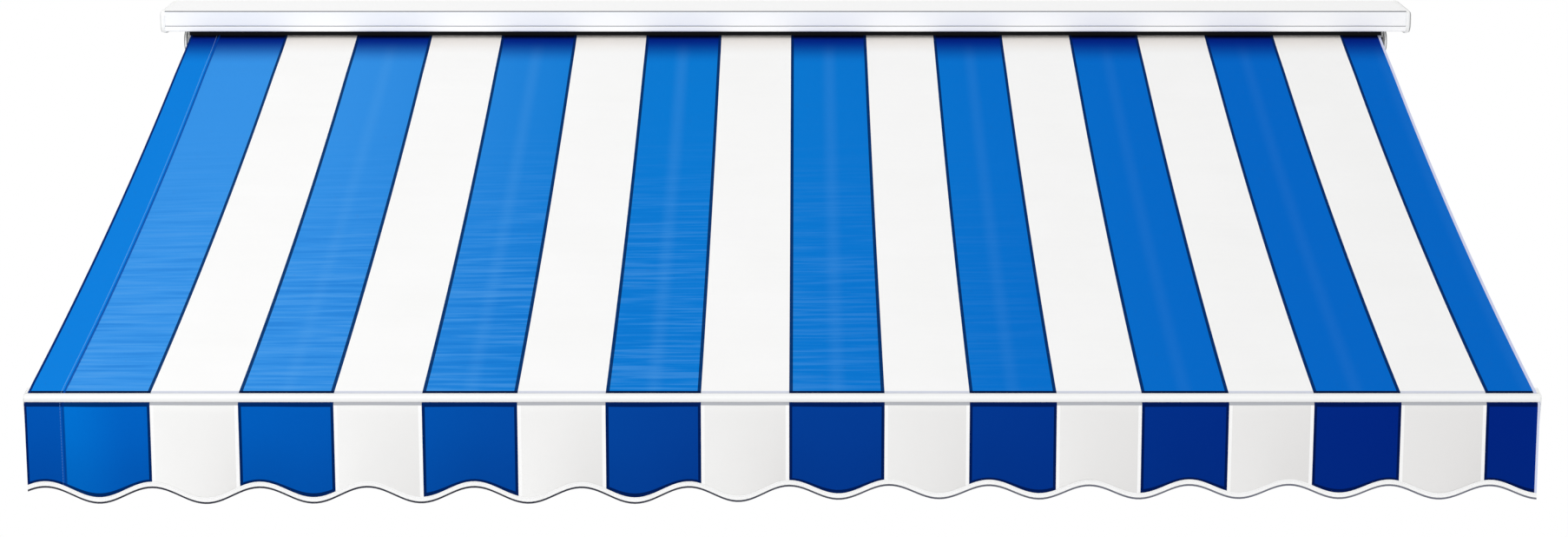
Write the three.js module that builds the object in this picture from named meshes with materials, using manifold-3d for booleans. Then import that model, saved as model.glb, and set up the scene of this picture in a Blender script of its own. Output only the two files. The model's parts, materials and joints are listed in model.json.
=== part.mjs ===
// Hooded folding-arm awning, let out: wall brackets, torsion bar, hood, cloth roller, two sprung folding
// arms, front bar, striped cloth and a valance with a wavy lower edge.
// Millimetres. +X runs to the right, +Y into the wall and +Z up. The origin lies on the wall plane, at the
// middle of the middle wall bracket.
import * as THREE from 'three';
import { mergeVertices } from 'three/addons/utils/BufferGeometryUtils.js';
import Module from 'manifold-3d';

const wasm = await Module();
wasm.setup();

// Clearances
const SEAT = 0.3; // between pieces that bear on each other
const RUN = 0.5; // round a pin, axle or rod that turns
const SLACK = 6; // between large pieces that pass each other
const EYE_ROOM = 10; // round an arm's eye, for the ears that turn beside it
const LAP = 2; // how far solids run into each other before they are joined

// Cloth and valance
const CLOTH_WIDTH = 2895;
const CLOTH_THICK = 1;
const CLOTH_SAG = 28; // how far the cloth hangs below a straight line, half way out
const SAG_STEPS = 7;
const ROLL_WRAP = 50; // degrees of the roll that the cloth still lies on
const FIRST_STRIPE = 236; // blue edge stripe with the left hem
const LEFT_WHITE = 169;
const LEFT_BLUE = 183;
const LEFT_PAIRS = 4;
const RIGHT_WHITE = 163;
const RIGHT_BLUE = 167;
const VALANCE_OVERLAP = 4.5; // the valance stands this far past the cloth at each side
const VALANCE_DROP = 180; // mean height below its groove
const SCALLOP_PITCH = 199;
const SCALLOP_HEIGHT = 15; // half of the wave, crest to trough
const SCALLOP_START = 35; // left edge to the first crest
const SCALLOP_STEPS = 5;
const BINDING_HEIGHT = 12;
const BINDING_THICK = 0.8;

// Torsion bar and wall brackets
const BAR_SIZE = 40;
const BAR_WALL = 2.5;
const BAR_Y = -46;
const PLATE_WIDTH = 90;
const PLATE_HEIGHT = 150;
const PLATE_THICK = 6;
const PLATE_CORNER = 8;
const PLATE_HOLE = 5.5; // radius
const PLATE_HOLE_INSET = 15;
const HOOK_THICK = 10;
const STRAP_THICK = 6;
const BRACKET_TO_ARM = 110; // middle of a wall bracket to the arm outside it

// Roller
const ROLLER_Y = -125;
const ROLLER_Z = 47;
const TUBE_RADIUS = 35;
const TUBE_WALL = 2;
const ROLL_RADIUS = 38; // outside of the turns that stay on the tube
const ROLL_SIDES = 14;
const FLANGE_RADIUS = 42;
const FLANGE_THICK = 3;
const AXLE_RADIUS = 8;
const PLUG_LENGTH = 36;
const MOTOR_RADIUS = 22;
const MOTOR_LENGTH = 480;
const MOTOR_PIN = 16; // square pin held in the right bracket
const MOTOR_SHAFT = 7;
const WHEEL_LENGTH = 22;
const END_GAP = 10; // roller flange to roller bracket
const BRACKET_THICK = 8;
const BRACKET_NOSE = 26; // radius round the roller axis
const SPIGOT_LENGTH = 30;

// Hood
const HOOD_OVERHANG = 36; // past the roller brackets
const HOOD_WALL = 2;
const HOOD_BACK_Y = -18;
const HOOD_FRONT_Y = -198;
const HOOD_TOP_BACK = 135;
const HOOD_TOP_FRONT = 128;
const HOOD_FACE = 50;
const HOOD_LIP = 11; // lower band of the face, below its groove
const HOOD_GROOVE = 2;
const HOOD_RETURN = 12;
const SEAL_HEIGHT = 9; // dark strip under the lip, down to just above the cloth
const SEAL_THICK = 3;
const HOOD_CAP_THICK = 14;
const HOOD_CAP_DROP = 6; // below the lip
const HOOD_CAP_EDGE = 9; // rounding of the outer edge
const HOOD_CAP_FACETS = 2;
const SUPPORT_X = 500;
const SUPPORT_WIDTH = 40;
const SUPPORT_THICK = 3;
const SUPPORT_REACH = 33; // under the hood's top

// Arms. The arm frame is tilted by the pitch about the pitch bolt; its -Y runs out along the arms.
const PITCH = 12;
const PITCH_DOWN = 10; // how far the pitch can be set steeper
const PITCH_UP = 3; // and flatter
const PITCH_BOLT_Y = -80;
const PITCH_BOLT_Z = -40;
const PITCH_BOLT = 6;
const HEAD_SHARE = 1.8; // corner radius of a hexagon head to its bolt's radius
const LOCK_BOLT = 4;
const LOCK_RADIUS = 26; // of the curved slot round the pitch bolt
const BASE_WIDTH = 72;
const BASE_WALL = 9;
const LUG_THICK = 10;
const LUG_ROUND = 15;
const BASE_CORNER = 8;
const KNUCKLE_REACH = 44; // pitch bolt to shoulder pin
const KNUCKLE_EAR = 10;
const KNUCKLE_BOSS = 13;
const EAR_RIM = 2; // an ear stands this far past the eye it holds
const SHOULDER_INSET = 162; // roller bracket to the arm
const ARM_LENGTH = 930; // pin to pin, both halves
const ARM_ANGLE = 10; // each half from straight out, when let out
const UPPER_WIDTH = 34;
const UPPER_HEIGHT = 50;
const FORE_WIDTH = 28;
const FORE_HEIGHT = 44;
const ARM_WALL = 2.2;
const ARM_CORNER = 8;
const UPPER_OFFSET = 20; // profile to the inside of the elbow pin
const FORE_OFFSET = 18;
const PIN_RADIUS = 8;
const PIN_HEAD = 12;
const PIN_HEAD_HEIGHT = 3.5;
const SHOULDER_EYE = 18;
const SHOULDER_EYE_HEIGHT = 40;
const ELBOW_EYE = 15;
const WRIST_EYE = 13;
const TONGUE = 16; // height of the middle ear at elbow and wrist
const CAST_REACH = 56; // pin to the end of an arm profile
const CAST_EDGE = 1.5;
const COLLAR = 12;
const PLUG = 40;
const SPRING_RADIUS = 12;
const SPRING_WIRE = 6;
const SPRING_LENGTH = 120;
const SPRING_SIDES = 5;
const PULL_ROD = 3;

// Front bar
const FRONT_DEPTH = 44;
const FRONT_TOP = 32; // above the plane of the arms
const FRONT_BOTTOM = -28;
const FRONT_WALL = 2;
const FRONT_ROUND = 6;
const FRONT_CAP = 3;
const FRONT_CAP_EDGE = 1;
const WRIST_TO_BAR = 30;
const WRIST_PLATE = 8;
const WRIST_EAR = 8;
const WELT_RADIUS = 2.4;
const WELT_BORE = 4.2;
const WELT_WALL = 2;
const WELT_SLIT = 2.4;
const WELT_DEPTH = 7; // bore centre below the surface
const CLOTH_GROOVE = 28; // behind it, the rear face
const VALANCE_GROOVE = 13; // below the top

// Worked out from the sizes above
const deg = THREE.MathUtils.degToRad;
const BAR_HALF = BAR_SIZE / 2;
const BAR_BACK = BAR_Y + BAR_HALF;
const BAR_FRONT = BAR_Y - BAR_HALF;
const TUBE_HALF = CLOTH_WIDTH / 2 + 1;
const BRACKET_X = TUBE_HALF + SEAT + FLANGE_THICK + END_GAP;
const HOOD_HALF = BRACKET_X + BRACKET_THICK + HOOD_OVERHANG;
const SHOULDER_X = BRACKET_X - SHOULDER_INSET;
const WALL_BRACKET_X = SHOULDER_X - BRACKET_TO_ARM;
const HOOK_WIDTH = PLATE_WIDTH - 4 * PLATE_HOLE_INSET; // between the screws
const LIP_Z = HOOD_TOP_FRONT - HOOD_FACE;
const VALANCE_HALF = CLOTH_WIDTH / 2 + VALANCE_OVERLAP;
const UPPER_RUN = Math.sqrt(ARM_LENGTH ** 2 - UPPER_OFFSET ** 2);
const FORE_RUN = Math.sqrt(ARM_LENGTH ** 2 - FORE_OFFSET ** 2);
const UPPER_TURN = ARM_ANGLE + THREE.MathUtils.radToDeg(Math.asin(UPPER_OFFSET / ARM_LENGTH));
const FORE_TURN = -ARM_ANGLE - THREE.MathUtils.radToDeg(Math.asin(FORE_OFFSET / ARM_LENGTH));
const ELBOW_X = SHOULDER_X - ARM_LENGTH * Math.sin(deg(ARM_ANGLE));
const ELBOW_Y = -KNUCKLE_REACH - ARM_LENGTH * Math.cos(deg(ARM_ANGLE));
const WRIST_Y = -KNUCKLE_REACH - 2 * ARM_LENGTH * Math.cos(deg(ARM_ANGLE));
const FRONT_BACK_Y = WRIST_Y - WRIST_TO_BAR; // rear face of the front bar
const FRONT_FACE_Y = FRONT_BACK_Y - FRONT_DEPTH;
const FRONT_HALF = VALANCE_HALF;
const WRIST_PIN = PIN_RADIUS - EAR_RIM;

// Colours and finishes
const WHITE = { color: 0xf3f4f2, roughness: 0.4, metalness: 0.1 };
const PLASTIC = { color: 0xeceeed, roughness: 0.5, metalness: 0 };
const STEEL = { color: 0xb9bcbe, roughness: 0.35, metalness: 0.9 };
const DARK = { color: 0x26282a, roughness: 0.6, metalness: 0 };
const BINDING = { color: 0xf6f6f4, roughness: 0.9, metalness: 0 };
const CLOTH = { color: 0xffffff, roughness: 0.9, metalness: 0, vertexColors: true };
const BLUE_STRIPE = new THREE.Color(0x0a6fcb);
const WHITE_STRIPE = new THREE.Color(0xf4f3ef);

// Outlines
const FACET_SAG = 0.3; // how far a facet may lie inside its true round
const BEND_FACETS = 3;
const BEND_SHARE = 0.4; // of the runs beside a bend, at most
const MITRE_LIMIT = 0.5; // keeps a sheet's corners from running out too far
const X_AXIS = new THREE.Vector3(1, 0, 0);
const Y_AXIS = new THREE.Vector3(0, 1, 0);
const Z_AXIS = new THREE.Vector3(0, 0, 1);
const ALONG_X = new THREE.Matrix4().makeBasis(Y_AXIS, Z_AXIS, X_AXIS); // drawn in Y and Z
const ALONG_Y = new THREE.Matrix4().makeBasis(X_AXIS, Z_AXIS, Y_AXIS.clone().negate()); // drawn in X and Z
const ALONG_Z = new THREE.Matrix4(); // drawn in X and Y

function at(first, second) {
  return new THREE.Vector2(first, second);
}

function facetAngle(radius) {
  return 2 * THREE.MathUtils.radToDeg(Math.acos(1 - FACET_SAG / Math.max(radius, 1)));
}

function roundSides(radius) {
  return 2 * Math.ceil(180 / facetAngle(radius));
}

function arc(x, y, radius, from, to) {
  const count = Math.max(1, Math.ceil(Math.abs(to - from) / facetAngle(radius)));
  return Array.from({ length: count + 1 }, (_, i) => {
    const angle = deg(from + ((to - from) * i) / count);
    return at(x + radius * Math.cos(angle), y + radius * Math.sin(angle));
  });
}

function outline(...runs) {
  return new THREE.Shape(runs.flat());
}

function polygon(radius, sides) {
  return outline(Array.from({ length: sides }, (_, i) => {
    const angle = (2 * Math.PI * i) / sides;
    return at(radius * Math.cos(angle), radius * Math.sin(angle));
  }));
}

function disc(radius) {
  return polygon(radius, roundSides(radius));
}

function roundedBox(width, height, radius, x = 0, y = 0) {
  const right = x + width / 2 - radius;
  const top = y + height / 2 - radius;
  const left = x - width / 2 + radius;
  const bottom = y - height / 2 + radius;
  return outline(
    arc(right, top, radius, 0, 90),
    arc(left, top, radius, 90, 180),
    arc(left, bottom, radius, 180, 270),
    arc(right, bottom, radius, 270, 360),
  );
}

// A path with each inner corner rounded in a few facets
function bent(corners, radius) {
  const points = [corners[0]];
  for (let i = 1; i < corners.length - 1; i += 1) {
    const towards = (other) => {
      const run = other.clone().sub(corners[i]);
      return run.setLength(Math.min(radius, BEND_SHARE * run.length())).add(corners[i]);
    };
    const start = towards(corners[i - 1]);
    const turn = new THREE.QuadraticBezierCurve(start, corners[i], towards(corners[i + 1]));
    points.push(...turn.getPoints(BEND_FACETS));
  }
  points.push(corners.at(-1));
  return points;
}

// A sheet of even thickness whose middle follows a path
function sheet(path, thickness) {
  const side = (offset) => path.map((point, i) => {
    const before = path[Math.max(i - 1, 0)];
    const after = path[Math.min(i + 1, path.length - 1)];
    const inward = point.clone().sub(i ? before : point.clone().multiplyScalar(2).sub(after)).normalize();
    const onward = (i < path.length - 1 ? after.clone().sub(point) : inward.clone()).normalize();
    const along = inward.clone().add(onward).normalize();
    const stretch = offset / Math.max(along.dot(onward), MITRE_LIMIT);
    return at(point.x - along.y * stretch, point.y + along.x * stretch);
  });
  return outline(side(thickness / 2), side(-thickness / 2).reverse());
}

// A section drawn out along an axis, centred on it, with its end edges broken by a bevel if one is given
function drawn(shape, length, axes, { bevel = 0, facets = 1, steps = 1 } = {}) {
  const geometry = new THREE.ExtrudeGeometry(shape, {
    depth: length - 2 * bevel,
    bevelEnabled: bevel > 0,
    bevelThickness: bevel,
    bevelSize: bevel,
    bevelOffset: -bevel,
    bevelSegments: facets,
    steps,
  });
  geometry.translate(0, 0, bevel - length / 2);
  return geometry.applyMatrix4(axes);
}

function rod(radius, length, axes) {
  return drawn(disc(radius), length, axes);
}

function block(width, depth, height, x, y, z) {
  return new THREE.BoxGeometry(width, depth, height).translate(x, y, z);
}

// Turned piece: a closed half section in radius and place along X
function turned(profile, sides = roundSides(FLANGE_RADIUS)) {
  return new THREE.LatheGeometry(profile, sides).rotateZ(-Math.PI / 2);
}

// Joining and cutting
function solid(geometry) {
  const bare = new THREE.BufferGeometry();
  bare.setAttribute('position', geometry.getAttribute('position').clone());
  bare.setIndex(geometry.index);
  const merged = mergeVertices(bare, 1e-4);
  return new wasm.Manifold(new wasm.Mesh({
    numProp: 3,
    vertProperties: new Float32Array(merged.getAttribute('position').array),
    triVerts: new Uint32Array(merged.index.array),
  }));
}

function surface(manifold) {
  const mesh = manifold.getMesh();
  const geometry = new THREE.BufferGeometry();
  geometry.setAttribute('position', new THREE.Float32BufferAttribute(mesh.vertProperties, 3));
  geometry.setIndex(new THREE.Uint32BufferAttribute(mesh.triVerts, 1));
  geometry.computeVertexNormals();
  return geometry;
}

function join(first, ...others) {
  return surface(others.reduce((whole, piece) => whole.add(solid(piece)), solid(first)));
}

function cut(first, ...tools) {
  return surface(tools.reduce((whole, tool) => whole.subtract(solid(tool)), solid(first)));
}

function common(first, second) {
  return surface(solid(first).intersect(solid(second)));
}

function place(name, geometry, finish, parent) {
  const mesh = new THREE.Mesh(geometry, new THREE.MeshStandardMaterial(finish));
  mesh.name = name;
  parent.add(mesh);
}

// Frames: the head is fixed to the wall, the arm frame is tilted, and the right half mirrors the left
const awning = new THREE.Group();
const tilted = new THREE.Group();
tilted.position.set(0, PITCH_BOLT_Y, PITCH_BOLT_Z);
tilted.rotation.x = deg(PITCH);
awning.add(tilted);

function side(parent, name) {
  const group = new THREE.Group();
  group.scale.x = name === 'left' ? 1 : -1;
  parent.add(group);
  return group;
}

// Wall brackets: a screw plate with a hook that carries the torsion bar, and a strap over it
function wallBracket() {
  const plate = drawn(roundedBox(PLATE_WIDTH, PLATE_HEIGHT, PLATE_CORNER), PLATE_THICK, ALONG_Y)
    .translate(0, -PLATE_THICK / 2, 0);
  const shelf = -BAR_HALF - SEAT;
  const lip = BAR_FRONT - SEAT;
  const inside = PLATE_THICK / 2; // the hook starts inside the plate
  const hook = outline([
    at(-inside, BAR_HALF),
    at(BAR_BACK + SEAT, BAR_HALF),
    at(BAR_BACK + SEAT, shelf),
    at(lip, shelf),
    at(lip, -SEAT),
    at(lip - HOOK_THICK, -SEAT),
    at(lip - HOOK_THICK, shelf - HOOK_THICK + SLACK),
    at(lip - HOOK_THICK + SLACK, shelf - HOOK_THICK),
    at(BAR_Y, shelf - HOOK_THICK),
    at(-inside, -PLATE_HEIGHT / 2 + PLATE_HOLE_INSET),
  ]);
  const holes = [-1, 1].flatMap((u) => [-1, 1].map((w) => rod(PLATE_HOLE, 4 * PLATE_THICK, ALONG_Y)
    .translate(u * (PLATE_WIDTH / 2 - PLATE_HOLE_INSET), 0, w * (PLATE_HEIGHT / 2 - PLATE_HOLE_INSET))));
  return cut(join(plate, drawn(hook, HOOK_WIDTH, ALONG_X)), ...holes);
}

function clampStrap() {
  const middle = STRAP_THICK / 2 + SEAT;
  const front = BAR_FRONT - SEAT - HOOK_THICK - middle;
  const path = [
    at(-PLATE_THICK - middle, BAR_SIZE),
    at(-PLATE_THICK - middle, BAR_HALF + middle),
    at(front, BAR_HALF + middle),
    at(front, -BAR_HALF / 2),
  ];
  return drawn(sheet(bent(path, STRAP_THICK), STRAP_THICK), HOOK_WIDTH, ALONG_X);
}

for (const [name, x] of [['left', -WALL_BRACKET_X], ['middle', 0], ['right', WALL_BRACKET_X]]) {
  place(`wall_bracket_${name}`, wallBracket().translate(x, 0, 0), WHITE, awning);
  place(`bracket_strap_${name}`, clampStrap().translate(x, 0, 0), WHITE, awning);
}

// Torsion bar: a square steel tube between the roller brackets
const barSection = roundedBox(BAR_SIZE, BAR_SIZE, 2 * BAR_WALL);
barSection.holes.push(roundedBox(BAR_SIZE - 2 * BAR_WALL, BAR_SIZE - 2 * BAR_WALL, BAR_WALL));
const torsionBar = drawn(barSection, 2 * (BRACKET_X - SEAT), ALONG_X);
place('torsion_bar', torsionBar.translate(0, BAR_Y, 0), WHITE, awning);

// Hood: an extruded shell with a grooved face and a folded lip, a strip under the lip and a cap at each end
function hoodTop(y) {
  const share = (y - HOOD_FRONT_Y) / (HOOD_BACK_Y - HOOD_FRONT_Y);
  return HOOD_TOP_FRONT + share * (HOOD_TOP_BACK - HOOD_TOP_FRONT);
}

const hoodInset = HOOD_WALL / 2;
const hoodFace = HOOD_FRONT_Y + hoodInset;
const grooveZ = LIP_Z + HOOD_LIP;
const hoodPath = bent([
  at(HOOD_BACK_Y - hoodInset, HOOD_TOP_BACK - HOOD_RETURN),
  at(HOOD_BACK_Y - hoodInset, HOOD_TOP_BACK - hoodInset),
  at(hoodFace, HOOD_TOP_FRONT - hoodInset),
  at(hoodFace, grooveZ + 2 * HOOD_GROOVE),
  at(hoodFace + HOOD_GROOVE, grooveZ + HOOD_GROOVE),
  at(hoodFace, grooveZ),
  at(hoodFace, LIP_Z + hoodInset),
  at(hoodFace + HOOD_RETURN, LIP_Z + hoodInset),
], HOOD_GROOVE);
place('hood', drawn(sheet(hoodPath, HOOD_WALL), 2 * HOOD_HALF, ALONG_X), WHITE, awning);
const sealY = HOOD_FRONT_Y + HOOD_WALL + SEAL_THICK / 2;
const hoodSeal = block(CLOTH_WIDTH, SEAL_THICK, SEAL_HEIGHT, 0, sealY, LIP_Z - SEAT - SEAL_HEIGHT / 2);
place('hood_seal', hoodSeal, DARK, awning);

// Rounded on its outer side only, so it is half of a plate that is rounded all round
function hoodCap() {
  const low = LIP_Z - HOOD_CAP_DROP;
  const round = HOOD_CAP_EDGE + HOOD_GROOVE;
  const shape = outline(
    arc(HOOD_FRONT_Y + round, HOOD_TOP_FRONT - round, round, 90, 180),
    arc(HOOD_FRONT_Y + 2 * round, low + 2 * round, 2 * round, 180, 270),
    [at(HOOD_BACK_Y, low), at(HOOD_BACK_Y, HOOD_TOP_BACK)],
  );
  const inside = block(2 * HOOD_CAP_THICK, 4 * -HOOD_FRONT_Y, 4 * HOOD_TOP_BACK, -HOOD_CAP_THICK, 0, 0);
  const plate = drawn(shape, 2 * HOOD_CAP_THICK, ALONG_X, { bevel: HOOD_CAP_EDGE, facets: HOOD_CAP_FACETS });
  return cut(plate, inside).translate(HOOD_HALF + SEAT, 0, 0);
}

function hoodSupport() {
  const middle = SUPPORT_THICK / 2 + SEAT;
  const under = (y) => hoodTop(y) - HOOD_WALL - middle;
  const upright = BAR_BACK - 2 * SUPPORT_THICK;
  const reach = upright - SUPPORT_REACH;
  const path = [
    at(BAR_FRONT + SUPPORT_THICK, BAR_HALF + middle),
    at(upright, BAR_HALF + middle),
    at(upright, under(upright)),
    at(reach, under(reach)),
  ];
  return drawn(sheet(bent(path, SUPPORT_THICK), SUPPORT_THICK), SUPPORT_WIDTH, ALONG_X)
    .translate(SUPPORT_X, 0, 0);
}

// Roller brackets: a plate on a spigot in the bar's end, with a nose that holds the roller's axle
function rollerBracket(bore) {
  const back = BAR_BACK + HOOK_THICK;
  const low = -BAR_HALF - SLACK;
  const shoulder = ROLLER_Y + BRACKET_NOSE;
  const under = (y) => hoodTop(y) - HOOD_WALL - SEAT;
  const plate = outline(
    [at(back, low), at(back, LIP_Z), at(BAR_BACK, under(BAR_BACK)), at(shoulder, under(shoulder))],
    arc(ROLLER_Y, ROLLER_Z, BRACKET_NOSE, 90, 270),
    [at(BAR_FRONT - SLACK, low)],
  );
  const spigotSize = BAR_SIZE - 2 * BAR_WALL - 2 * SEAT;
  const spigot = drawn(roundedBox(spigotSize, spigotSize, BAR_WALL), SPIGOT_LENGTH, ALONG_X)
    .translate(LAP - SPIGOT_LENGTH / 2, BAR_Y, 0);
  const body = drawn(plate, BRACKET_THICK, ALONG_X).translate(BRACKET_THICK / 2, 0, 0);
  return cut(join(body, spigot), bore.translate(BRACKET_THICK / 2, ROLLER_Y, ROLLER_Z))
    .translate(BRACKET_X, 0, 0);
}

for (const name of ['left', 'right']) {
  const half = side(awning, name === 'left' ? 'right' : 'left'); // these are drawn at the right end
  const bore = name === 'left'
    ? rod(AXLE_RADIUS + RUN, 4 * BRACKET_THICK, ALONG_X)
    : block(4 * BRACKET_THICK, MOTOR_PIN + 2 * SEAT, MOTOR_PIN + 2 * SEAT, 0, 0, 0);
  place(`hood_end_cap_${name}`, hoodCap(), PLASTIC, half);
  place(`hood_support_${name}`, hoodSupport(), WHITE, half);
  place(`roller_bracket_${name}`, rollerBracket(bore), WHITE, half);
}

// Roller: a tube with a welt groove rolled into it, on an idler plug at the left and a motor at the right
const roller = new THREE.Group();
roller.position.set(0, ROLLER_Y, ROLLER_Z);
awning.add(roller);
const channelPlace = TUBE_RADIUS - WELT_BORE - TUBE_WALL / 2;

function channel(radius, length) {
  return rod(radius, length, ALONG_X).translate(0, 0, -channelPlace);
}

function rollerTube() {
  const length = 2 * TUBE_HALF;
  const ring = disc(TUBE_RADIUS);
  ring.holes.push(disc(TUBE_RADIUS - TUBE_WALL));
  const slit = block(2 * length, WELT_SLIT, 2 * WELT_BORE, 0, 0, -channelPlace - WELT_BORE);
  const gutter = channel(WELT_BORE, 2 * length);
  const limit = rod(TUBE_RADIUS - TUBE_WALL / 2, length, ALONG_X);
  const wall = common(channel(WELT_BORE + TUBE_WALL, length), limit);
  return cut(join(drawn(ring, length, ALONG_X), wall), gutter, slit);
}

const plugRadius = TUBE_RADIUS - TUBE_WALL - SEAT;
const plugNotch = channel(WELT_BORE + TUBE_WALL + SEAT, 2 * CLOTH_WIDTH);
const flangeStart = TUBE_HALF + SEAT;
const axleEnd = BRACKET_X + BRACKET_THICK;

function idlerPlug() {
  const profile = [
    at(0, TUBE_HALF - PLUG_LENGTH),
    at(plugRadius, TUBE_HALF - PLUG_LENGTH),
    at(plugRadius, TUBE_HALF),
    at(AXLE_RADIUS * 2, flangeStart),
    at(FLANGE_RADIUS, flangeStart),
    at(FLANGE_RADIUS, flangeStart + FLANGE_THICK),
    at(AXLE_RADIUS, flangeStart + FLANGE_THICK),
    at(AXLE_RADIUS, axleEnd),
    at(0, axleEnd),
  ];
  return cut(turned(profile), plugNotch).rotateY(Math.PI).rotateX(Math.PI);
}

function motorCrown() {
  const bore = MOTOR_RADIUS + RUN;
  const start = TUBE_HALF - PLUG_LENGTH;
  const profile = [
    at(bore, start),
    at(plugRadius, start),
    at(plugRadius, TUBE_HALF),
    at(plugRadius - FLANGE_THICK, flangeStart),
    at(FLANGE_RADIUS, flangeStart),
    at(FLANGE_RADIUS, flangeStart + FLANGE_THICK),
    at(bore, flangeStart + FLANGE_THICK),
    at(bore, start),
  ];
  return cut(turned(profile), plugNotch);
}

const motorStart = TUBE_HALF - MOTOR_LENGTH;

function tubeMotor() {
  const end = flangeStart + FLANGE_THICK;
  const profile = [
    at(0, motorStart - WHEEL_LENGTH),
    at(MOTOR_SHAFT, motorStart - WHEEL_LENGTH),
    at(MOTOR_SHAFT, motorStart),
    at(MOTOR_RADIUS, motorStart + SEAT),
    at(MOTOR_RADIUS, end),
    at(0, end),
  ];
  const pin = block(axleEnd - end + LAP, MOTOR_PIN, MOTOR_PIN, (axleEnd + end - LAP) / 2, 0, 0);
  return join(turned(profile), pin);
}

function driveWheel() {
  const wheel = rod(plugRadius, WHEEL_LENGTH - SEAT, ALONG_X);
  wheel.translate(motorStart - WHEEL_LENGTH / 2 - SEAT, 0, 0);
  const bore = rod(MOTOR_SHAFT + SEAT, 2 * MOTOR_LENGTH, ALONG_X).translate(motorStart, 0, 0);
  return cut(wheel, plugNotch, bore);
}

place('roller_tube', rollerTube(), STEEL, roller);
place('roller_idler_plug', idlerPlug(), PLASTIC, roller);
place('motor_crown', motorCrown(), PLASTIC, roller);
place('motor_drive_wheel', driveWheel(), PLASTIC, roller);
place('tube_motor', tubeMotor(), DARK, roller);

// Stripes: sewn panels, blue and white by turns; the right panel's stripes are a little narrower
function stripeEdges() {
  const edges = [0, FIRST_STRIPE];
  while (edges.at(-1) < CLOTH_WIDTH) {
    const onLeft = edges.length < 2 * (LEFT_PAIRS + 1);
    const widths = onLeft ? [LEFT_WHITE, LEFT_BLUE] : [RIGHT_WHITE, RIGHT_BLUE];
    edges.push(Math.min(edges.at(-1) + widths[edges.length % 2], CLOTH_WIDTH));
  }
  return edges.map((edge) => edge - CLOTH_WIDTH / 2);
}

const STRIPE_EDGES = stripeEdges();

// Colours every facet by the stripe that its middle lies in
function striped(geometry) {
  const faceted = geometry.index ? geometry.toNonIndexed() : geometry;
  const position = faceted.getAttribute('position');
  const colours = new Float32Array(position.count * 3);
  for (let i = 0; i < position.count; i += 3) {
    const x = (position.getX(i) + position.getX(i + 1) + position.getX(i + 2)) / 3;
    const stripe = STRIPE_EDGES.slice(1, -1).filter((edge) => edge < x).length;
    const colour = stripe % 2 ? WHITE_STRIPE : BLUE_STRIPE;
    [i, i + 1, i + 2].forEach((corner) => colour.toArray(colours, corner * 3));
  }
  faceted.setAttribute('color', new THREE.BufferAttribute(colours, 3));
  return faceted;
}

// A section drawn along X with its stations moved to the given places
function drawnAt(shape, stations) {
  const steps = stations.length - 1;
  const geometry = drawn(shape, steps, ALONG_X, { steps });
  const position = geometry.getAttribute('position');
  for (let i = 0; i < position.count; i += 1) {
    position.setX(i, stations[Math.round(position.getX(i) + steps / 2)]);
  }
  return geometry;
}

// Turns of cloth that stay wound on the tube
const rollInner = (TUBE_RADIUS + SEAT) / Math.cos(Math.PI / ROLL_SIDES);
const rollProfile = [
  ...STRIPE_EDGES.map((edge) => at(ROLL_RADIUS, edge)).reverse(),
  ...[STRIPE_EDGES[0], STRIPE_EDGES.at(-1)].map((edge) => at(rollInner, edge)),
  at(ROLL_RADIUS, STRIPE_EDGES.at(-1)),
];
place('canopy_roll', striped(turned(rollProfile.reverse(), ROLL_SIDES)), CLOTH, roller);

// Arm bases: a collar on the torsion bar with two lugs, a pitch bolt and a curved slot for the lock bolt
const lugInner = BASE_WIDTH / 2 - LUG_THICK;
const knuckleHalf = lugInner - SEAT;

function slot() {
  const low = PITCH - 90 - PITCH_UP - 1;
  const high = PITCH - 90 + PITCH_DOWN + 1;
  const half = LOCK_BOLT + RUN;
  const end = (angle) => at(LOCK_RADIUS * Math.cos(deg(angle)), LOCK_RADIUS * Math.sin(deg(angle)));
  return outline(
    arc(0, 0, LOCK_RADIUS + half, low, high).slice(0, -1),
    arc(end(high).x, end(high).y, half, high, high + 180).slice(0, -1),
    arc(0, 0, LOCK_RADIUS - half, high, low).slice(0, -1),
    arc(end(low).x, end(low).y, half, low + 180, low + 360).slice(0, -1),
  );
}

function armBase() {
  const outer = BAR_SIZE + 2 * (SEAT + BASE_WALL);
  const collar = drawn(roundedBox(outer, outer, BASE_CORNER, BAR_Y, 0), BASE_WIDTH, ALONG_X);
  const reach = LOCK_RADIUS + LOCK_BOLT + SLACK;
  const lug = outline(
    [at(BAR_FRONT, BAR_HALF), at(BAR_FRONT - BASE_WALL, BAR_HALF)],
    arc(PITCH_BOLT_Y, PITCH_BOLT_Z, LUG_ROUND, 150, 190),
    arc(PITCH_BOLT_Y, PITCH_BOLT_Z, reach, 250, 310),
    [at(BAR_Y + BAR_HALF / 2, -BAR_HALF)],
  );
  const lugs = [-1, 1].map((u) => drawn(lug, LUG_THICK, ALONG_X)
    .translate(u * (lugInner + LUG_THICK / 2), 0, 0));
  const bore = drawn(roundedBox(BAR_SIZE + 2 * SEAT, BAR_SIZE + 2 * SEAT, 2 * BAR_WALL, BAR_Y, 0),
    2 * BASE_WIDTH, ALONG_X);
  const pivot = rod(PITCH_BOLT + SEAT, 2 * BASE_WIDTH, ALONG_X).translate(0, PITCH_BOLT_Y, PITCH_BOLT_Z);
  const guide = drawn(slot(), 2 * BASE_WIDTH, ALONG_X).translate(0, PITCH_BOLT_Y, PITCH_BOLT_Z);
  return cut(join(collar, ...lugs), bore, pivot, guide);
}

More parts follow.
